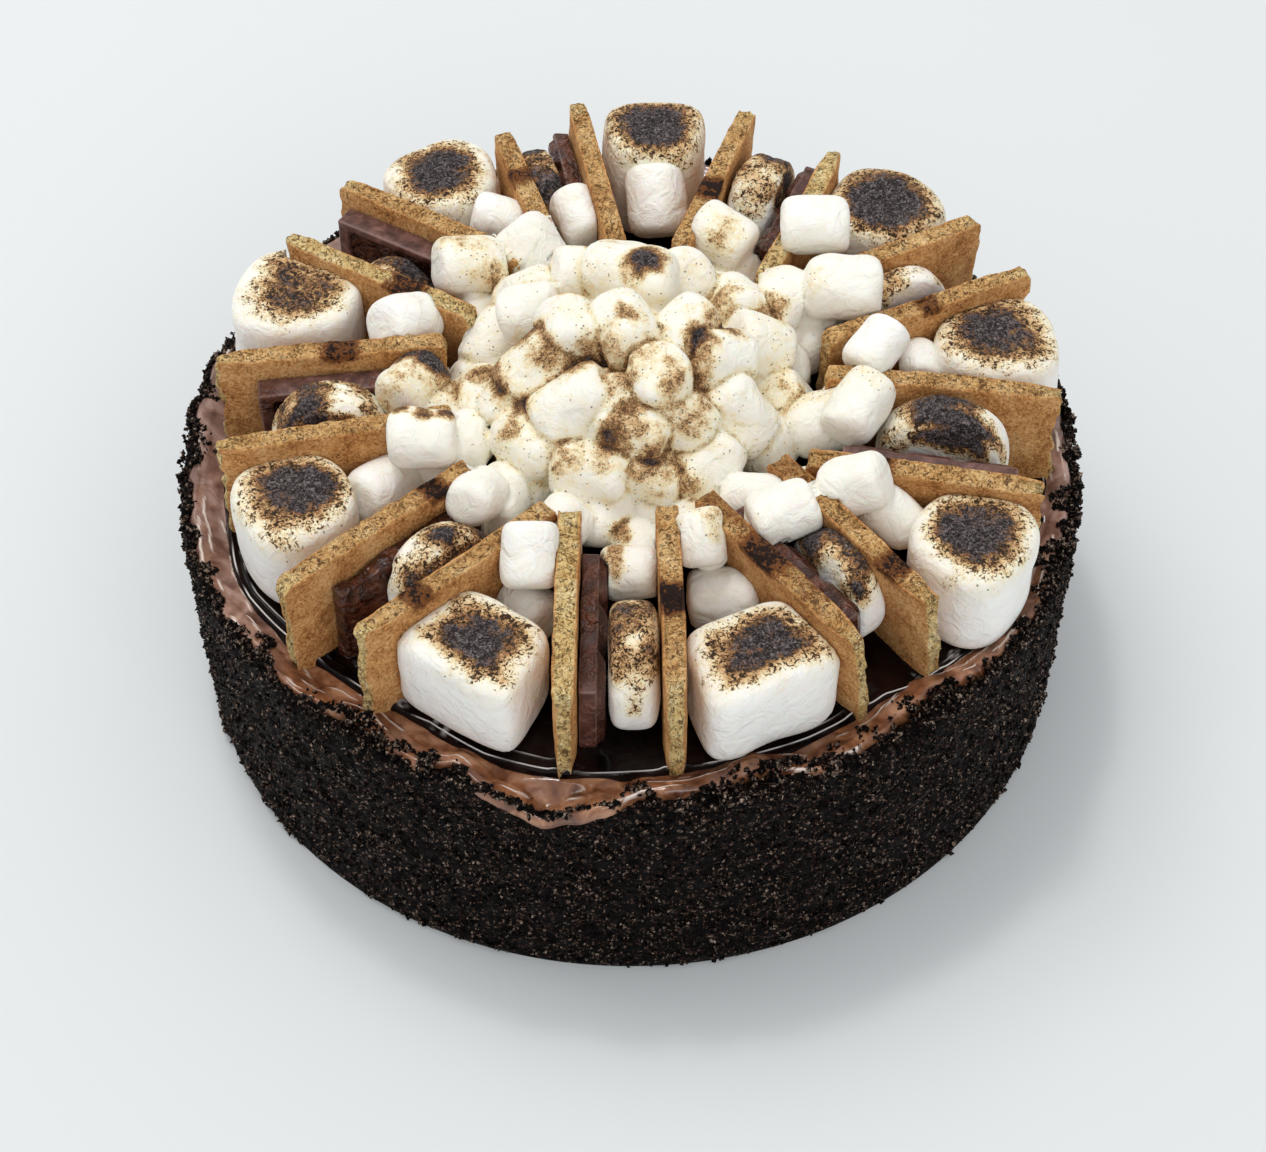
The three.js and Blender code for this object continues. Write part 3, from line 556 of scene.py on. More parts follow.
def cracker_material():
    paint = Paint("baked_cracker", Roughness=0.82, Specular_IOR_Level=0.25)
    edge = paint.mark("edge")
    patches = paint.noise(7, 4, 0.6)
    paint.warp(0.9, 0.4)
    grain = paint.noise(0.8, 5, 0.78)
    coarse = paint.noise(1.7, 4, 0.7, 0.6)
    tone = paint.total(grain, paint.centred(patches, 0.5))
    dark = ((0.34, rgb(144, 90, 46)), (0.46, rgb(200, 140, 80)))
    broad = paint.ramp(tone, *dark, (0.57, rgb(226, 172, 110)), (0.7, rgb(242, 204, 150)))
    dark = ((0.34, rgb(168, 124, 68)), (0.46, rgb(218, 182, 116)))
    pale = paint.ramp(tone, *dark, (0.58, rgb(240, 214, 154)), (0.7, rgb(250, 234, 190)))
    paint.colour = paint.mix(paint.mark("cut"), broad, pale)
    # Painted shade: the inner, lower part of the broad faces is darker brown.
    paint.coat(paint.times(paint.mark("inner"), 0.75), rgb(122, 76, 38))
    fine = paint.dots(0.7, 0.42, paint.total(0.12, paint.times(edge, 0.12)))
    paint.coat(paint.times(fine, 0.65), rgb(110, 70, 36))
    pits = paint.between(paint.total(coarse, paint.times(edge, -0.075)), 0.345, 0.305)
    cracks = paint.times(paint.veins(2.8, 0.02, 1.4), paint.between(edge, 0.4, 0.9))
    holes = paint.calc("MAXIMUM", pits, cracks)
    paint.coat(paint.times(holes, 0.85), rgb(84, 50, 22))
    toast = paint.total(paint.mark("toast"), paint.centred(grain, 1.4), paint.centred(coarse, 1.6))
    paint.coat(paint.between(toast, 0.45, 0.8), rgb(132, 80, 40))
    paint.coat(paint.between(toast, 0.88, 1.06), rgb(38, 22, 15))
    paint.emboss(grain, 0.6)
    paint.emboss(paint.calc("SUBTRACT", 1.0, holes), 0.35)
    return paint.finish()


def chocolate_material():
    paint = Paint("milk_chocolate", Specular_IOR_Level=0.4)
    smear = paint.noise(4, 4, 0.6, 0.5)
    plain = paint.ramp(smear, (0.34, rgb(60, 32, 25)), (0.5, rgb(90, 56, 47)), (0.66, rgb(124, 86, 76)))
    melted = paint.ramp(smear, (0.34, rgb(40, 20, 13)), (0.5, rgb(72, 38, 26)), (0.68, rgb(112, 66, 48)))
    melt = paint.between(paint.total(paint.mark("melt"), paint.centred(smear, 0.7)), 0.25, 0.6)
    paint.colour = paint.mix(melt, plain, melted)
    # Painted highlight: the edges of a firm bar are lighter.
    paint.coat(paint.mark("rim"), rgb(160, 130, 120))
    paint.coat(paint.times(paint.dots(1.1, 0.35, 0.16), 0.6), rgb(46, 24, 20))
    roughness = paint.ramp(melt, (0.0, grey(0.45)), (0.8, grey(0.08)))
    paint.emboss(paint.noise(1.7, 4, 0.7), 0.18)
    paint.emboss(paint.times(paint.noise(3.4, 2, 0.5, 1.2), melt), 2.2)
    return paint.finish(Roughness=roughness)


def mallow_material(name, body, strokes_from, char_from, stroke, strength, fleck_share):
    """Toasted marshmallow. Dark strokes and char begin where the skin is toasted that much."""
    paint = Paint(name, Specular_IOR_Level=0.3, Subsurface_Weight=0.15, Subsurface_Scale=0.003)
    toast = paint.mark("toast")
    skin = paint.noise(5.0, 4, 0.6, 0.9)
    patches = paint.centred(paint.noise(3.0, 3, 0.6), 0.9)
    paint.warp(1.1, 0.45)
    strokes = paint.noise(stroke, 3, 0.62, 1.3)
    fine = paint.noise(0.55, 3, 0.75, 0.5)
    level = paint.total(toast, patches)
    gritty = paint.total(level, paint.centred(fine, 0.9))
    drawn = paint.total(strokes, paint.times(level, 0.2), paint.centred(fine, 0.25))
    marked = paint.times(paint.between(level, strokes_from, strokes_from + 0.25), strength)
    paint.colour = paint.mix(paint.between(level, -0.3, 0.15), body, rgb(247, 243, 230))
    paint.coat(paint.between(gritty, 0.05, 0.45), rgb(242, 229, 190))
    paint.coat(paint.times(paint.between(gritty, 0.32, 0.64), 0.75), rgb(212, 160, 98))
    paint.coat(paint.between(gritty, 0.6, char_from + 0.04), rgb(126, 74, 38))
    paint.coat(paint.times(paint.between(drawn, 0.6, 0.65), marked), rgb(136, 98, 54))
    paint.coat(paint.times(paint.between(drawn, 0.65, 0.7), marked), rgb(54, 38, 24))
    flecks = paint.dots(1.25, 0.24, paint.times(paint.between(level, 0.0, 0.25), fleck_share))
    paint.coat(paint.times(flecks, 0.8), rgb(96, 74, 54))
    ash = paint.total(fine, paint.centred(strokes, -0.9))
    dark = ((0.4, rgb(26, 20, 18)), (0.48, rgb(56, 48, 48)))
    char = paint.ramp(ash, *dark, (0.58, rgb(90, 81, 82)), (0.72, rgb(136, 127, 122)))
    paint.coat(paint.between(gritty, char_from, char_from + 0.14), char)
    roughness = paint.ramp(toast, (0.0, grey(0.6)), (1.0, grey(0.85)))
    crisp = paint.times(paint.total(fine, strokes), paint.between(level, 0.2, 0.8))
    paint.emboss(skin, 1.1)
    paint.emboss(crisp, 0.4)
    return paint.finish(Roughness=roughness)


# ---- Crackers and chocolate ----
# A slab's corner, axes and size: X outwards along it, Y through it, Z up in its plane.
Slab = namedtuple("Slab", "corner axes size")


def slab_of(node):
    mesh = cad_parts[node].data
    points = vectors_of(mesh.vertices, "co") / MM
    broad = max(mesh.polygons, key=lambda polygon: polygon.area)
    through = np.array(broad.normal)
    along = np.cross(through, (0, 0, 1))
    along /= np.linalg.norm(along)
    if along @ points.mean(axis=0) < 0:
        along = -along
    up = np.cross(along, through)
    if up[2] < 0:
        up, through = -up, -through
    axes = np.stack([along, through, up], axis=-1)
    local = points @ axes
    low, high = local.min(axis=0), local.max(axis=0)
    return Slab(axes @ low, axes, high - low)


CRACKERS = {which: slab_of(f"cracker_{which}") for which in TOASTED}
BARS = {which: slab_of(f"chocolate_{which}") for which in MELT}
SLABS = [*CRACKERS.values(), *BARS.values()]


def clear_of_slabs(points, whole=True):
    """Pushes points out of the slabs: all to the body's own side, or each through the nearer face."""
    for corner, axes, size in SLABS:
        local = (points - corner) @ axes
        inside = np.minimum(local, size - local).min(axis=1) > -CLEARANCE
        if not inside.any():
            continue
        middle = local.mean(axis=0)
        if whole and middle[2] > size[2]:
            local[inside, 2] = size[2] + CLEARANCE
        else:
            side = middle[1] if whole else local[inside, 1]
            local[inside, 1] = np.where(side < size[1] / 2, -CLEARANCE, size[1] + CLEARANCE)
        points[inside] = local[inside] @ axes.T + corner
    return points


def wear_corners(points, size, seed):
    """Rounds off a cracker's two upper corners, each as far as its own draw says."""
    length, _, height = size
    x, _, z = points.T
    for number, way, inwards in ((1, 1, x), (2, -1, length - x)):
        worn = 1.2 + 3.2 * float(lattice_draw(seed, number, 0, 31))
        past = worn - np.stack([inwards, height - z], axis=-1)
        reach = np.hypot(*past.T)
        pull = past * np.maximum(0, 1 - worn / np.maximum(reach, worn))[:, None]
        pull[past.min(axis=1) <= 0] = 0
        x += way * pull[:, 0]
        z -= pull[:, 1]


def cracker_heat(which, points, own, narrow, size):
    """How brown each point is: along the top, around the burnt place and on the edges."""
    warmth, burnt_at, reach = TOASTED[which]
    length, _, height = size
    x, _, z = points.T
    heat = warmth * smoothstep(z, height - 7, height) * (0.9 + 0.7 * noise(own, 9, 40))
    if reach:
        along = np.abs(x / length - burnt_at) * length / reach
        heat += 0.75 * (1 - smoothstep(along, 0.3, 1.0)) * smoothstep(z, height - 4.5, height - 1)
    return heat + 0.25 * smoothstep(narrow, 0.5, 1) * smoothstep(-z, -6, 0)


def cracker(which, seed, finish):
    corner, axes, size = CRACKERS[which]
    length, thickness, height = size
    points, faces, out = rounded_box(size, step=1.25, edge=0.8, rounding=0.7)
    narrow = 1 - np.abs(out[:, 1])  # 0 on the broad faces, 1 on the edges
    own = points + 97.0 * seed
    wear_corners(points, size, seed)
    pits = smoothstep(cells(own, 2.6, 3), 0.9, 0.3)
    wear = 0.14 * rough(own, 4, 3, 1) - 0.22 * pits
    chipped = np.maximum(0, noise(own, 7, 21) - 0.1)
    torn = 0.8 * rough(own, 2.6, 2, 9) + 0.5 * noise(own, 12, 23) - 2.4 * chipped - 0.8 * pits
    points += out * (wear + (torn - wear) * narrow)[:, None]
    x, y, z = points.T
    outer_end = smoothstep(x, length - 9, length)
    y += (thickness / 2 - y) * 0.3 * outer_end * (1 + noise(own * (1, 0, 1), 8, 52))
    x -= outer_end**3 * (0.9 + 0.8 * rough(own * (0, 1, 1), 7, 4, 51))
    y += 0.45 * noise(own * (1, 0.1, 1), 26, 33)
    # inner marks painted shade: the broad faces darken towards the dome and low down, where the cracker
    # stands among the marshmallows.
    inner = (1 - smoothstep(x, 4, 26)) * (1 - smoothstep(z, height - 12, height - 3))
    edge = smoothstep(narrow, 0.25, 0.75)
    marks = {
        "toast": cracker_heat(which, points, own, narrow, size),
        "edge": edge,
        "cut": edge if which in CUT_SIDE_UP else edge * (0.4 + 0.6 * outer_end),
        "inner": inner * (1 - narrow),
    }
    node = f"cracker_{which}"
    make_piece(f"{node}_baked", points @ axes.T + corner, faces, finish, node, **marks)


def pip_depth(x, z, size):
    """How thick a bar is at a place on its face: full on the pips, less between them."""
    length, depth, height = size
    pitch = length / PIPS["count"]
    half_length, half_height = (pitch - PIPS["margin"]) / 2, (height - PIPS["margin"]) / 2
    from_pip = np.abs((x / pitch) % 1 - 0.5) * pitch
    along = 1 - smoothstep(from_pip, half_length - PIPS["slope"], half_length)
    upright = 1 - smoothstep(np.abs(z - height / 2), half_height - PIPS["slope"], half_height)
    return PIPS["base"] + (depth - PIPS["base"]) * along * upright


def chocolate(which, seed, finish):
    corner, axes, size = BARS[which]
    length, depth, height = size
    melt = MELT[which]
    points, faces, out = rounded_box(size, step=1.15, edge=0.7, rounding=0.6 + 0.5 * melt)
    x, y, z = points.T
    recess = np.zeros(len(points))
    thickness = pip_depth(x, z, size)
    if which in FRAMED:
        inwards = np.minimum(np.minimum(x, length - x), np.minimum(z, height - z) + 0.6)
        recess = smoothstep(inwards, 3.2, 4.4)
        thickness = depth - 2.6 * recess + 0.5 * bell(inwards - 5.6, 0.6)
    y *= thickness / depth
    own = points + 61.0 * seed
    wear = 0.1 * rough(own, 5, 3, 2) + melt**2 * 1.5 * noise(own * (1, 1, 0.35), 5, 8)
    points += out * wear[:, None]
    soft = np.clip(melt + 0.35 * noise(own, 9, 12), 0, 1)
    soft = np.maximum(soft, recess)
    edge = np.sort(np.abs(out), axis=1)[:, 1]  # how far each point faces two ways at once
    # rim marks a painted highlight along the bar's edges, left off where the chocolate is soft.
    rim = 0.7 * smoothstep(edge, 0.3, 0.6) * (1 - soft)
    node = f"chocolate_{which}"
    make_piece(f"{node}_bar", points @ axes.T + corner, faces, finish, node, melt=soft, rim=rim)


# ---- Marshmallows ----
def puff(around, step, fullness):
    """A puffed cylinder about Z, one unit across and one long, with points about step apart."""
    t = np.linspace(-np.pi / 2, np.pi / 2, 400)
    r = np.cos(t).clip(0) ** (2 / fullness)
    z = np.sign(t) * np.abs(np.sin(t)) ** (2 / fullness)
    run = np.concatenate([[0], np.cumsum(np.hypot(np.diff(r), np.diff(z)))])
    even = np.linspace(0, run[-1], max(8, round(run[-1] / 2 / step)) + 1)
    r, z = np.interp(even, run, r), np.interp(even, run, z)
    r[0] = r[-1] = 0
    return lathe(list(zip(r / 2, z / 2)), around)


def normals_about(points, faces):
    """Rough outward directions of a closed body, from its faces."""
    total = np.zeros_like(points)
    for group in faces:
        a, b, c = points[group[:, 0]], points[group[:, 1]], points[group[:, 2]]
        normal = np.cross(b - a, c - a)
        for column in range(group.shape[1]):
            np.add.at(total, group[:, column], normal)
    return total / np.maximum(np.linalg.norm(total, axis=1, keepdims=True), 1e-9)


def char_relief(own, toast):
    """The crinkled skin of a toasted marshmallow, and its soft unevenness elsewhere."""
    crinkle = 0.34 * rough(own, 2.0, 2, 4) * smoothstep(toast, 0.35, 0.95)
    return crinkle + (0.6 * noise(own, 11, 15) + 0.2 * noise(own, 4.5, 16))


def set_mallow(node, look, points, faces, toast, centre, axes, finish):
    """Makes a marshmallow's piece, clear of the slabs."""
    points = clear_of_slabs(points @ axes.T + centre)
    make_piece(f"{node}_{look}", points, faces, finish, node, toast=toast)


def large_mallow(which, seed, finish):
    azimuth, radius, size, turn, square, heat = LARGE[which]
    radial, _, height = size
    points, faces = puff(76, 0.032, 7)
    angle = np.arctan2(points[:, 1], points[:, 0])
    outline = (np.abs(np.cos(angle)) ** square + np.abs(np.sin(angle)) ** square) ** (-1 / square)
    points[:, :2] *= LARGE_SWELL * outline[:, None]
    share = np.hypot(points[:, 0], points[:, 1]) / (LARGE_SWELL / 2 * outline)  # of the way to the side
    points *= size
    points[:, 1] *= 1 + LARGE_WEDGE * points[:, 0] / (radial / 2)
    out = normals_about(points, faces)
    own = points + 43.0 * seed
    on_top = smoothstep(points[:, 2], height * (0.36 - 0.3 * heat), height * 0.47)
    toast = heat + 0.16 - 0.95 * smoothstep(share, 0.28, 1.06) + 0.24 * rough(own, 9, 2, 6)
    toast = toast * on_top - 0.3 * (1 - on_top)
    points = points + out * char_relief(own, toast)[:, None]
    centre, axes = at(azimuth, radius, RESTING_LEVEL + height / 2), facing(azimuth + turn)
    set_mallow(f"large_mallow_{which}", "toasted", points, faces, toast, centre, axes, finish)


def half_place(which, diameter):
    """Half a marshmallow's centre, axes and width, between its bar and the second cracker."""
    bar, first, second = BARS[which], CRACKERS[which + "1"], CRACKERS[which + "2"]
    centre = np.add(*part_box(f"half_mallow_{which}")) / 2 / MM
    centre[2] = RESTING_LEVEL + diameter / 2
    heading = azimuth_of(first.axes[:, 0] + second.axes[:, 0])
    through = second.axes[:, 1]
    bar_face = (bar.corner + bar.axes[:, 1] * bar.size[1]) @ through
    return centre, facing(heading), float(np.clip(second.corner @ through - bar_face, 9, 17))


def half_mallow(which, seed, finish):
    diameter, lean, charred = HALVES[which]
    centre, axes, width = half_place(which, diameter)
    points, faces = puff(72, 0.035, 4.8)
    points = points @ turn_about("X", 90).T * (diameter, width, diameter)
    from_axis = 2 * np.hypot(points[:, 0], points[:, 2]) / diameter
    out = normals_about(points, faces)
    tilt = turn_about("X", -lean)
    points, out = points @ tilt.T, out @ tilt.T
    own = points + 43.0 * seed
    upper = smoothstep(points[:, 2], -0.06 * diameter, 0.4 * diameter)
    pale = bell(from_axis - 0.86, 0.07) * (1 - smoothstep(np.abs(points[:, 1]), 0, width * 0.2))
    pale = np.maximum(pale, bell(from_axis - 0.87, 0.06))  # rings where the ends turn into the side
    toast = (charred + 0.25) * upper + 0.75 * rough(own, 9, 2, 6) - 0.5 * pale * (0.6 + noise(own, 9, 7))
    toast -= 0.3 + 0.3 * smoothstep(-points[:, 2], 0, 0.25 * diameter)
    points = points + out * char_relief(own, toast)[:, None]
    set_mallow(f"half_mallow_{which}", "toasted", points, faces, toast, centre, axes, finish)


def mini_place(mini):
    """A small marshmallow's centre, axes and size."""
    azimuth, radius, height, turn, raised, size = mini
    axes = facing(azimuth + turn) @ turn_about("Y", 90 - raised)
    across = MINI["diameter"] * size
    return at(azimuth, radius, GANACHE_TOP + height), axes, np.array([across, across, MINI["length"] * size])


def loose_mini(number, mini, seed, finish):
    centre, axes, size = mini_place(mini)
    points, faces = puff(44, 0.055, 5.4)
    points = points * size
    own = points + 29.0 * seed
    swell = 0.4 * noise(own, 6, 2) + 0.1 * noise(own, 2.5, 3)
    points = points + normals_about(points, faces) * swell[:, None]
    toast = -0.12 + 0.12 * noise(own, 5, 9)
    set_mallow(f"mini_mallow_{number}", "soft", points, faces, toast, centre, axes, finish)


def dome_place(mini):
    zenith, azimuth, turn, rise, size, stretch = mini
    height = DOME["height"] * math.cos(math.radians(zenith))
    centre = at(azimuth, DOME["radius"] * math.sin(math.radians(zenith)), RESTING_LEVEL + height)
    centre[1] += DOME["centre_y"]
    axes = facing(azimuth) @ turn_about("Y", zenith) @ turn_about("Z", turn) @ turn_about("Y", 90 - rise)
    across = DOME_MINI["diameter"] * size
    return centre, axes, np.array([across, across, DOME_MINI["length"] * size * stretch])


def dome_core():
    """The body under the dome's small marshmallows: points and faces."""
    half_circle = [(math.cos(t), math.sin(t)) for t in np.linspace(-np.pi / 2, np.pi / 2, 25)]
    ball, faces = lathe(half_circle, 48)
    reach, height = DOME["radius"] - DOME["shrink"], DOME["height"] - DOME["shrink"]
    points = ball * (reach, reach, height) + (0, DOME["centre_y"], RESTING_LEVEL)
    points[:, 2] = np.maximum(points[:, 2], RESTING_LEVEL)
    return points, faces


def joined(bodies):
    """The points and faces of several bodies as one."""
    points = np.concatenate([points for points, _ in bodies])
    starts = np.cumsum([0] + [len(points) for points, _ in bodies])
    shifted = [[group + start for group in faces] for (_, faces), start in zip(bodies, starts)]
    return points, [np.concatenate(group) for group in zip(*shifted)]


def dome_spots(points):
    """How strongly the burnt spots brown each point of the dome."""
    size = np.array((DOME["radius"], DOME["radius"], DOME["height"])) + DOME_MINI["diameter"] * 0.4
    local = (points - (0, DOME["centre_y"], RESTING_LEVEL)) / size
    local /= np.linalg.norm(local, axis=1, keepdims=True)
    heat = np.zeros(len(points))
    wander = 1.3 * noise(points, 3.2, 91) + 0.7 * noise(points, 1.5, 92)
    for zenith, azimuth, radius, strength in DOME_SPOTS:
        z = math.radians(zenith)
        spot = at(azimuth, math.sin(z), math.cos(z))
        off = np.linalg.norm((local - spot) * size, axis=1) + wander
        peak = 0.66 * strength + 1.2 * max(0.0, strength - 1.12)
        heat = np.maximum(heat, peak * (1 - smoothstep(off, 0.1 * radius, 2.9 * radius)))
    for x, y, z, radius, strength in FOOT_SPOTS:
        off = np.linalg.norm(points - (x, y, z), axis=1) + wander
        heat = np.maximum(heat, strength * (1 - smoothstep(off, 0.5 * radius, 1.6 * radius)))
    return heat


def dome_joints(points, minis):
    """How far each point is outside its marshmallow, and how much farther it is from the next one."""
    nearest = np.full(len(points), 9.0)
    second = nearest
    for centre, axes, size in minis:
        local = (points - centre) @ axes / (size / 2)
        along, across = np.abs(local[:, 2]), np.hypot(local[:, 0], local[:, 1])
        reach = (along**5 + across**5) ** 0.2  # 1 on the marshmallow's skin
        second = np.where(reach < nearest, nearest, np.minimum(second, reach))
        nearest = np.minimum(nearest, reach)
    return nearest, second - nearest


def dome(finish):
    """The small marshmallows that are melted together, with those at the dome's foot."""
    minis = [dome_place(mini) for mini in DOME_MINIS] + [mini_place(mini) for mini in DOME_FOOT]
    unit, faces = puff(32, 0.08, 5.0)
    bodies = []
    for number, (centre, axes, size) in enumerate(minis):
        body = unit * size
        body += 0.5 * noise(body + 17.0 * number, 6, 3)[:, None] * np.sign(body)
        bodies.append((body @ axes.T + centre, faces))
    bodies.append(dome_core())
    piece = make_piece("mallow_heap_melted", *joined(bodies), finish, "mallow_heap")
    fuse(piece, 0.88)
    points = relax(piece.data)
    points[:, 2] = np.maximum(points[:, 2], RESTING_LEVEL)
    points = clear_of_slabs(points, whole=False)
    outside, gap = dome_joints(points, minis)
    # The toast mark is partly real browning and partly painted shade: the creases between the small
    # marshmallows and the hollows between them are tinted darker cream.
    crease_shade, groove = 1 - smoothstep(gap, 0.02, 0.2), 1 - smoothstep(gap, 0.0, 0.13)
    recess_shade = smoothstep(outside, 1.03, 1.2)
    zone = 1 - smoothstep(np.hypot(points[:, 0], points[:, 1] - DOME["centre_y"]), 36, 56)
    heat = zone * (0.08 + 0.28 * crease_shade + 0.18 * recess_shade + 0.16 * rough(points, 8, 3, 14)) - 0.1 * (1 - zone)
    heat += dome_spots(points)
    crinkle = 0.14 * rough(points, 1.8, 2, 6) * smoothstep(heat, 0.4, 0.8)
    relief = 0.25 * noise(points, 5, 5) + crinkle - 0.75 * groove
    move_points(piece.data, points + vectors_of(piece.data.vertex_normals, "vector") * relief[:, None])
    mark_points(piece.data, toast=heat)


# ---- The crust, filling and ganache ----
def ring_azimuths(around):
    """The azimuths of a lathe's points, from -180 to 180."""
    azimuth = np.degrees(np.arange(around) / around * 2 * np.pi) + 90
    return (azimuth + 180) % 360 - 180


def edge_radius(azimuth, table, usual, jag=0.0):
    """A radius by azimuth: from the table where it reaches, else wavering about the usual one.

    jag is how ragged the edge is.
    """
    angles, radii = np.array(table).T
    known = np.interp(azimuth, angles, radii)
    around = at(azimuth, 100.0)
    free = usual + 1.8 * noise(around, 22, 71)
    ragged = jag * (0.9 * noise(around, 9, 72) + noise(around, 3.2, 73))
    first, last, fade = angles[0], angles[-1], 12
    share = smoothstep(azimuth, first - fade, first) * (1 - smoothstep(azimuth, last, last + fade))
    return free + (known - free) * share + ragged


def crumb_edge(azimuth, jag=0.0):
    """The radius where the crumbs begin."""
    return edge_radius(azimuth, CRUMB_EDGE, CRUMB_RADIUS, jag)


def filling_edge(azimuth):
    """The radius where the filling ends, a little under the crumbs."""
    return crumb_edge(azimuth, 0.7) + 0.6


def notch_dip(azimuth):
    off = away(azimuth, NOTCH["azimuth"]) / math.degrees(NOTCH["half_width"] / CAKE_RADIUS)
    return NOTCH["depth"] * np.clip(1 - off, 0, 1)


def crumb_relief(p):
    """Packed crumbs: two sizes of rounded grains on larger crags, 0 in the middle."""
    big = np.sqrt(np.clip(1 - (cells(p, 2.4, 1) / 1.7) ** 2, 0, 1))
    small = np.sqrt(np.clip(1 - (cells(p, 1.4, 2) / 1.0) ** 2, 0, 1))
    return 0.8 * big + 0.5 * small + 0.8 * rough(p, 8, 3, 3) - 0.55


def crust(finish):
    """The crust as one turned body with a crumbly wall and an uneven rim. The loose crumbs hide its edges."""
    wall, rim, inner = WALL_RADIUS, CAKE_HEIGHT - 1.2, CAKE_RADIUS - CRUST_WALL
    profile = [(0, 0)] + even_profile([(wall, 0), (wall, rim - 2)], 1.0)
    profile += even_profile([(wall - 0.6, rim - 0.8), (wall - 1.6, rim), (inner, rim)], 0.9)
    profile += [(inner, 40), (inner, CRUST_BASE), (0, CRUST_BASE)]
    points, faces = lathe(profile, 700)
    r = np.hypot(points[:, 0], points[:, 1])
    grain = crumb_relief(points)
    on_wall = smoothstep(r, inner + 0.5, wall - 1) * smoothstep(points[:, 2], 0, 2.5)
    top = smoothstep(points[:, 2], rim - 3, rim)
    points[:, :2] *= 1 + (on_wall * (1 - 0.6 * top) * grain / np.maximum(r, 1))[:, None]
    lower = notch_dip(azimuth_of(points)) + 0.9 * (1 + noise(points, 6, 5))
    points[:, 2] += 0.8 * top * (grain - lower)
    # Painted shade: the wall under the loose crumbs is darkened, as it lies in the shade between them.
    tone = np.full(len(points), -0.2)
    make_piece("crust_crumbed", points, faces, finish, "crust", tone=tone)


OCTAHEDRON = np.array([(1, 0, 0), (-1, 0, 0), (0, 1, 0), (0, -1, 0), (0, 0, 1), (0, 0, -1)], dtype=float)
OCTAHEDRON_FACES = np.array(
    [(0, 2, 4), (2, 1, 4), (1, 3, 4), (3, 0, 4), (2, 0, 5), (1, 2, 5), (3, 1, 5), (0, 3, 5)]
)


def crumb_cloud(name, places, sizes, random, finish):
    """One mesh of many angular crumbs."""
    count = len(places)
    corners = OCTAHEDRON[None] * random.uniform(0.55, 1.25, (count, 6, 1))
    corners += random.normal(0, 0.16, corners.shape)
    spin, _ = np.linalg.qr(random.normal(size=(count, 3, 3)))
    spin *= np.sign(np.linalg.det(spin))[:, None, None]
    corners = np.einsum("nij,nkj->nki", spin, corners) * sizes[:, None, None]
    points = (corners + places[:, None]).reshape(-1, 3)
    faces = (OCTAHEDRON_FACES[None] + 6 * np.arange(count)[:, None, None]).reshape(-1, 3)
    tone = np.repeat(random.uniform(-0.25, 0.25, count), 6)
    make_piece(name, points, [faces], finish, smooth=False, tone=tone)


def wall_crumbs(random, finish):
    """Crumbs all over the wall, up to the rim."""
    count = 23000
    azimuth = random.uniform(-180, 180, count)
    height = random.uniform(0.9, CAKE_HEIGHT - 1.0, count)
    relief = crumb_relief(at(azimuth, CAKE_RADIUS - 1.0, height))
    places = at(azimuth, WALL_RADIUS + relief + random.uniform(-0.3, 0.2, count), height)
    places = places[height <= CAKE_HEIGHT - 1.5 - notch_dip(azimuth)]
    sizes = random.lognormal(-0.62, 0.38, len(places)).clip(0.28, 1.15)
    crumb_cloud("wall_crumbs", places, sizes, random, finish)


def rim_crumbs(random, finish):
    """Crumbs on the rim in small heaps, thinning out over the filling."""
    heaps, in_heap = 850, 10
    azimuth = np.repeat(random.uniform(-180, 180, heaps), in_heap)
    count = len(azimuth)
    azimuth = azimuth + random.normal(0, 0.6, count)
    edge = np.minimum(crumb_edge(azimuth, 2.6), 113.0)
    inwards = np.repeat(1.4 * random.uniform(0, 1, heaps) ** 1.4 - 0.4, in_heap)
    inwards += random.normal(0, 0.14, count)
    radius = np.minimum(edge + (CAKE_RADIUS - 0.9 - edge) * inwards, CAKE_RADIUS - 0.7)
    on_filling = filling_edge(azimuth) - radius
    height = CAKE_HEIGHT - 0.9 - notch_dip(azimuth) + random.normal(0, 0.6, count)
    height += 1.1 * smoothstep(on_filling, -0.5, 0.8) - 2.8 * smoothstep(on_filling, 1.5, 7)
    sizes = random.lognormal(-0.4, 0.38, count).clip(0.3, 1.4)
    crumb_cloud("rim_crumbs", at(azimuth, radius, height), sizes, random, finish)


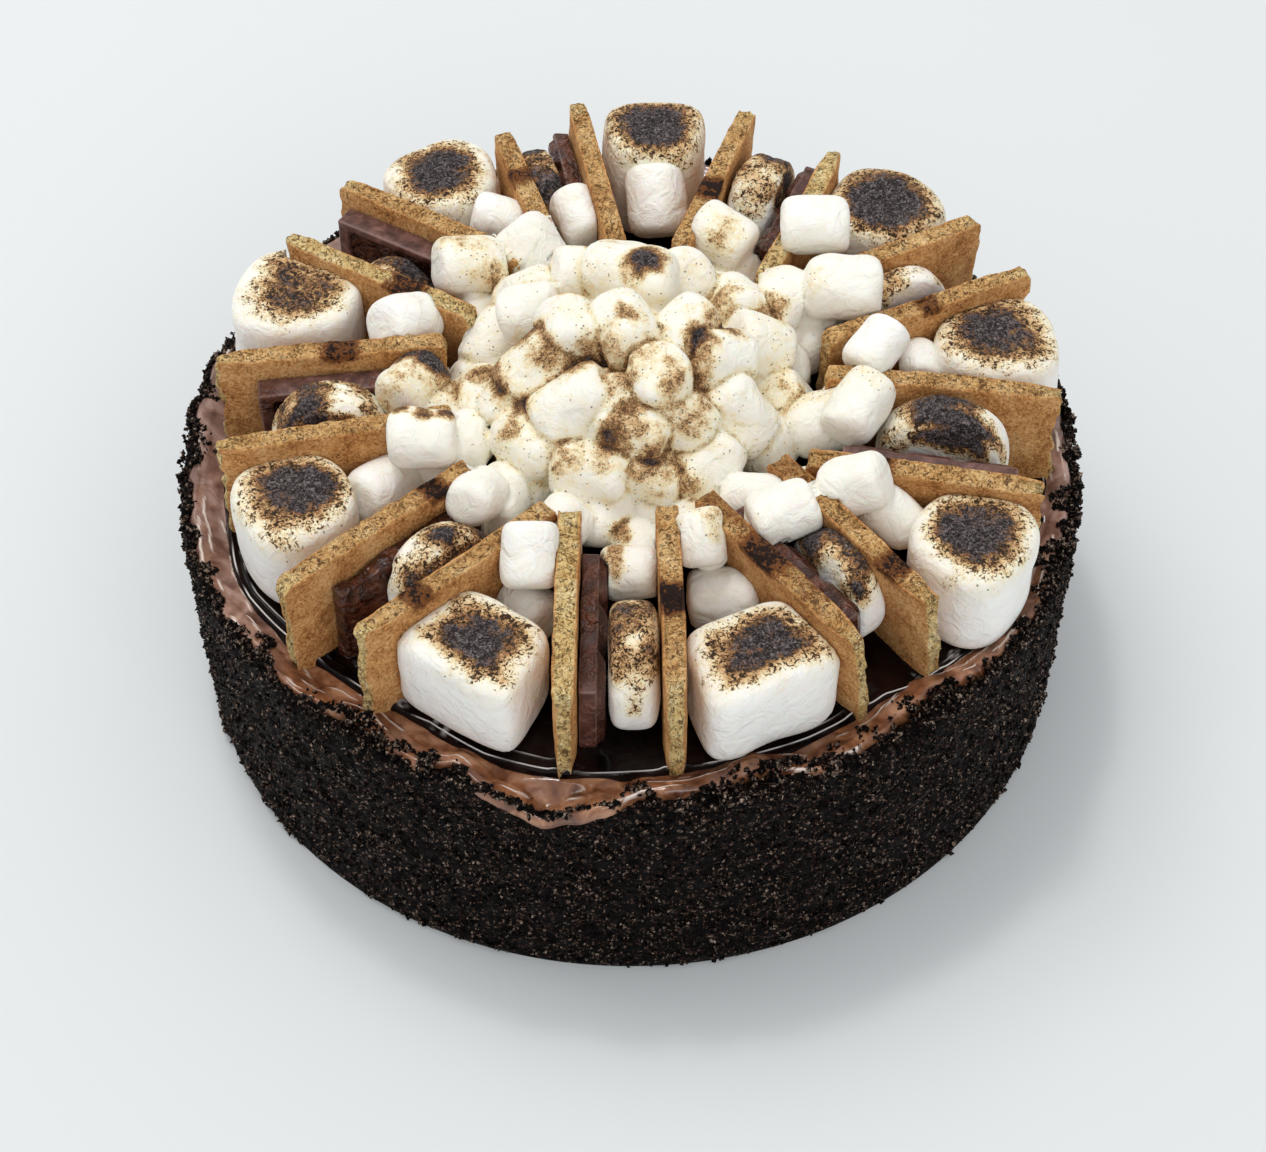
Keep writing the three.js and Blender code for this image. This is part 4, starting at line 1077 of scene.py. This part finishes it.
def filling(finish):
    """The filling, with a smeared margin over the inner part of the crust's rim."""
    rows, around, start, bottom = 34, 780, 98, CRUST_BASE + 0.3
    profile = [(0, bottom), (105, bottom), (107, 58)] + [(107, 60 + row) for row in range(rows)]
    points, faces = lathe(profile + [FILLING_FLAT, (0, FILLING_FLAT[1])], around)
    margin = slice(1 + 2 * around, 1 + (2 + rows) * around)
    azimuth = np.tile(ring_azimuths(around), rows)
    outer = filling_edge(azimuth)
    r = start + (outer - start) * np.repeat(np.linspace(1, 0, rows), around)
    inside, from_crumbs = outer - r, crumb_edge(azimuth) - r
    level = FILLING_CREST + 0.4 - 3.0 * smoothstep(inside, 1.5, 9.5)
    level += 0.7 * rough(at(azimuth, r), 9, 2, 61) * smoothstep(inside, 0, 2)
    circle = at(azimuth, 100.0)
    lines = np.zeros(len(r))
    for number, (base, swing) in enumerate(CREST_LINES):
        middle = base + swing * noise(circle, 11, 64 + number) + 0.35 * noise(circle, 3, 70 + number)
        line = bell(from_crumbs - middle, 0.34) * smoothstep(noise(circle, 6, 76 + number), 0.0, 0.35)
        lines = np.maximum(lines, line)
        level += 0.35 * smoothstep(middle - from_crumbs, -0.5, 0.6)
    level += 0.3 * lines - 3.2 * (1 - smoothstep(inside, -0.2, 1.6)) ** 2
    level -= notch_dip(azimuth) * smoothstep(r, 104, 111)
    points[margin] = at(azimuth, r, level)
    crest, under = np.zeros((2, len(points)))
    # A painted highlight along the raised lines.
    crest[margin] = smoothstep(lines, 0.35, 0.85)
    under[margin] = 0.6 * smoothstep(noise(at(azimuth, r), 5, 66), 0.1, 0.7)
    sideways = away(azimuth_of(points), 0) + 25 * noise(points, 26, 67)
    marks = {"crest": crest, "under": under, "mauve": smoothstep(sideways, 35, 75)}
    make_piece("filling_smeared", points, faces, finish, "filling", **marks)


def from_slabs(points):
    """How far each point is from the nearest slab, along and through it."""
    near = np.full(len(points), 9.0)
    for corner, axes, size in SLABS:
        local = (points - corner) @ axes
        gap = np.maximum(np.maximum(-local, local - size), 0)
        near = np.minimum(near, np.hypot(gap[:, 0], gap[:, 1]))
    return near


def ganache(finish):
    """The pool of ganache, with two beads near its edge, bubbles, and a rise where slabs stand in it."""
    around = 580
    rings = np.concatenate([np.arange(-0.4, 6.2, 0.19), np.linspace(6.6, 46, 18)])
    profile = [(0, GANACHE_BOTTOM), (96, GANACHE_BOTTOM)] + [(96 + k, 62) for k in range(len(rings))]
    points, faces = lathe(profile + [(0, 63)], around)
    top = slice(1 + around, 1 + (1 + len(rings)) * around)
    azimuth = np.tile(ring_azimuths(around), len(rings))
    inside = np.repeat(rings, around)
    r = edge_radius(azimuth, GANACHE_EDGE, GANACHE_RADIUS) - inside
    flat, circle = at(azimuth, r), at(azimuth, 100.0)
    second = 3.4 + 1.3 * noise(circle, 24, 83)
    first_bead = bell(inside - 1.0, 0.3)
    second_bead = bell(inside - second, 0.3) * smoothstep(noise(flat, 26, 81), -0.35, 0.2)
    level = GANACHE_TOP - 1.6 * (1 - smoothstep(inside, -0.5, 1.1)) ** 2
    level += 0.4 * first_bead + 0.34 * second_bead + 0.08 * noise(flat, 9, 82)
    points[top] = at(azimuth, r, level)
    # A painted highlight along the beads, broken in places, and around the bubble rims.
    crest = np.zeros(len(points))
    broken = smoothstep(noise(circle, 7, 84), -0.6, 0.1)
    crest[top] = smoothstep(np.maximum(first_bead, 0.85 * second_bead), 0.5, 0.9) * broken
    surface = GANACHE_TOP - 0.8
    for bubble_azimuth, bubble_radius, width in BUBBLES:
        off = points - at(bubble_azimuth, bubble_radius)
        ring = bell(np.hypot(off[:, 0], off[:, 1]) - width, 0.3) * (points[:, 2] > surface)
        points[:, 2] += 0.35 * ring
        crest = np.maximum(crest, 0.6 * ring)
    rise = 0.9 * np.exp(-from_slabs(points) / 0.8)
    points[:, 2] += np.where(points[:, 2] > surface, rise, 0)
    make_piece("ganache_pool", points, faces, finish, "ganache", crest=crest)


# ---- Stage, lights and camera. Places and sizes are in metres here ----
# Lights: place, size, watts, colour.
LIGHTS = {
    "key": ((-0.5, 0.45, 1.5), (0.9, 0.9), 8.6, (1, 0.985, 0.96)),
    "fill": ((0.45, -1.25, 0.9), (0.9, 0.7), 4.2, (1, 1, 1)),
    "spark": ((-0.2, 0.3, 1.3), (0.14, 0.14), 2.2, (1, 1, 1)),
}
SKY = {"colour": (0.95, 0.97, 1.0, 1), "strength": 0.7}
CAMERA = {"distance": 0.7, "elevation": 49.54, "sensor_width": 36, "lens": 73.07, "shift": (0.0022, 0.0303)}


def add_stage():
    bpy.ops.mesh.primitive_plane_add(size=12, location=(0, 0, 0))
    floor = bpy.context.object
    floor.name = "floor"
    paint = Paint("pale_floor", Roughness=0.9, Base_Color=rgb(223, 226, 226))
    floor.data.materials.append(paint.material)


def add_lights():
    scene = bpy.context.scene
    scene.view_settings.view_transform = "Standard"
    scene.world = bpy.data.worlds.new("studio")
    scene.world.use_nodes = True
    background = scene.world.node_tree.nodes["Background"]
    background.inputs["Color"].default_value = SKY["colour"]
    background.inputs["Strength"].default_value = SKY["strength"]
    for name, (place, size, watts, colour) in LIGHTS.items():
        light = bpy.data.lights.new(name, "AREA")
        light.shape = "RECTANGLE"
        light.size, light.size_y = size
        light.energy = watts
        light.color = colour
        lamp = bpy.data.objects.new(name, light)
        lamp.location = place
        lamp.rotation_euler = (-Vector(place)).to_track_quat("-Z", "Y").to_euler()
        scene.collection.objects.link(lamp)


def add_camera():
    camera = bpy.data.objects.new("camera", bpy.data.cameras.new("camera"))
    camera.data.sensor_width = CAMERA["sensor_width"]
    camera.data.lens = CAMERA["lens"]
    camera.data.shift_x, camera.data.shift_y = CAMERA["shift"]
    tilt = math.radians(CAMERA["elevation"])
    camera.location = (0, -CAMERA["distance"] * math.cos(tilt), CAMERA["distance"] * math.sin(tilt))
    camera.rotation_euler = (math.pi / 2 - tilt, 0, 0)
    bpy.context.scene.collection.objects.link(camera)
    bpy.context.scene.camera = camera


def main():
    add_camera()
    add_lights()
    add_stage()
    baked = Finish("cracker", cracker_material())
    milk = Finish("chocolate", chocolate_material())
    mallow = Finish("mallow", mallow_material("marshmallow", rgb(250, 248, 242), 0.12, 0.86, 1.25, 1.0, 0.4))
    melted = mallow_material("melted_marshmallow", rgb(249, 246, 236), 0.34, 0.92, 0.8, 0.55, 0.75)
    crumbs = Finish("crust", crumb_material())
    for seed, which in enumerate(TOASTED):
        cracker(which, seed, baked)
    for seed, which in enumerate(MELT):
        chocolate(which, seed, milk)
        half_mallow(which, seed, mallow)
    for seed, which in enumerate(LARGE, 20):
        large_mallow(which, seed, mallow)
    for number, mini in enumerate(LOOSE_MINIS, 1):
        loose_mini(number, mini, number + 40, mallow)
    dome(Finish("mallow", melted))
    crust(crumbs)
    random = np.random.default_rng(11)
    wall_crumbs(random, crumbs)
    rim_crumbs(random, crumbs)
    filling(Finish("filling", filling_material()))
    ganache(Finish("ganache", ganache_material()))


main()
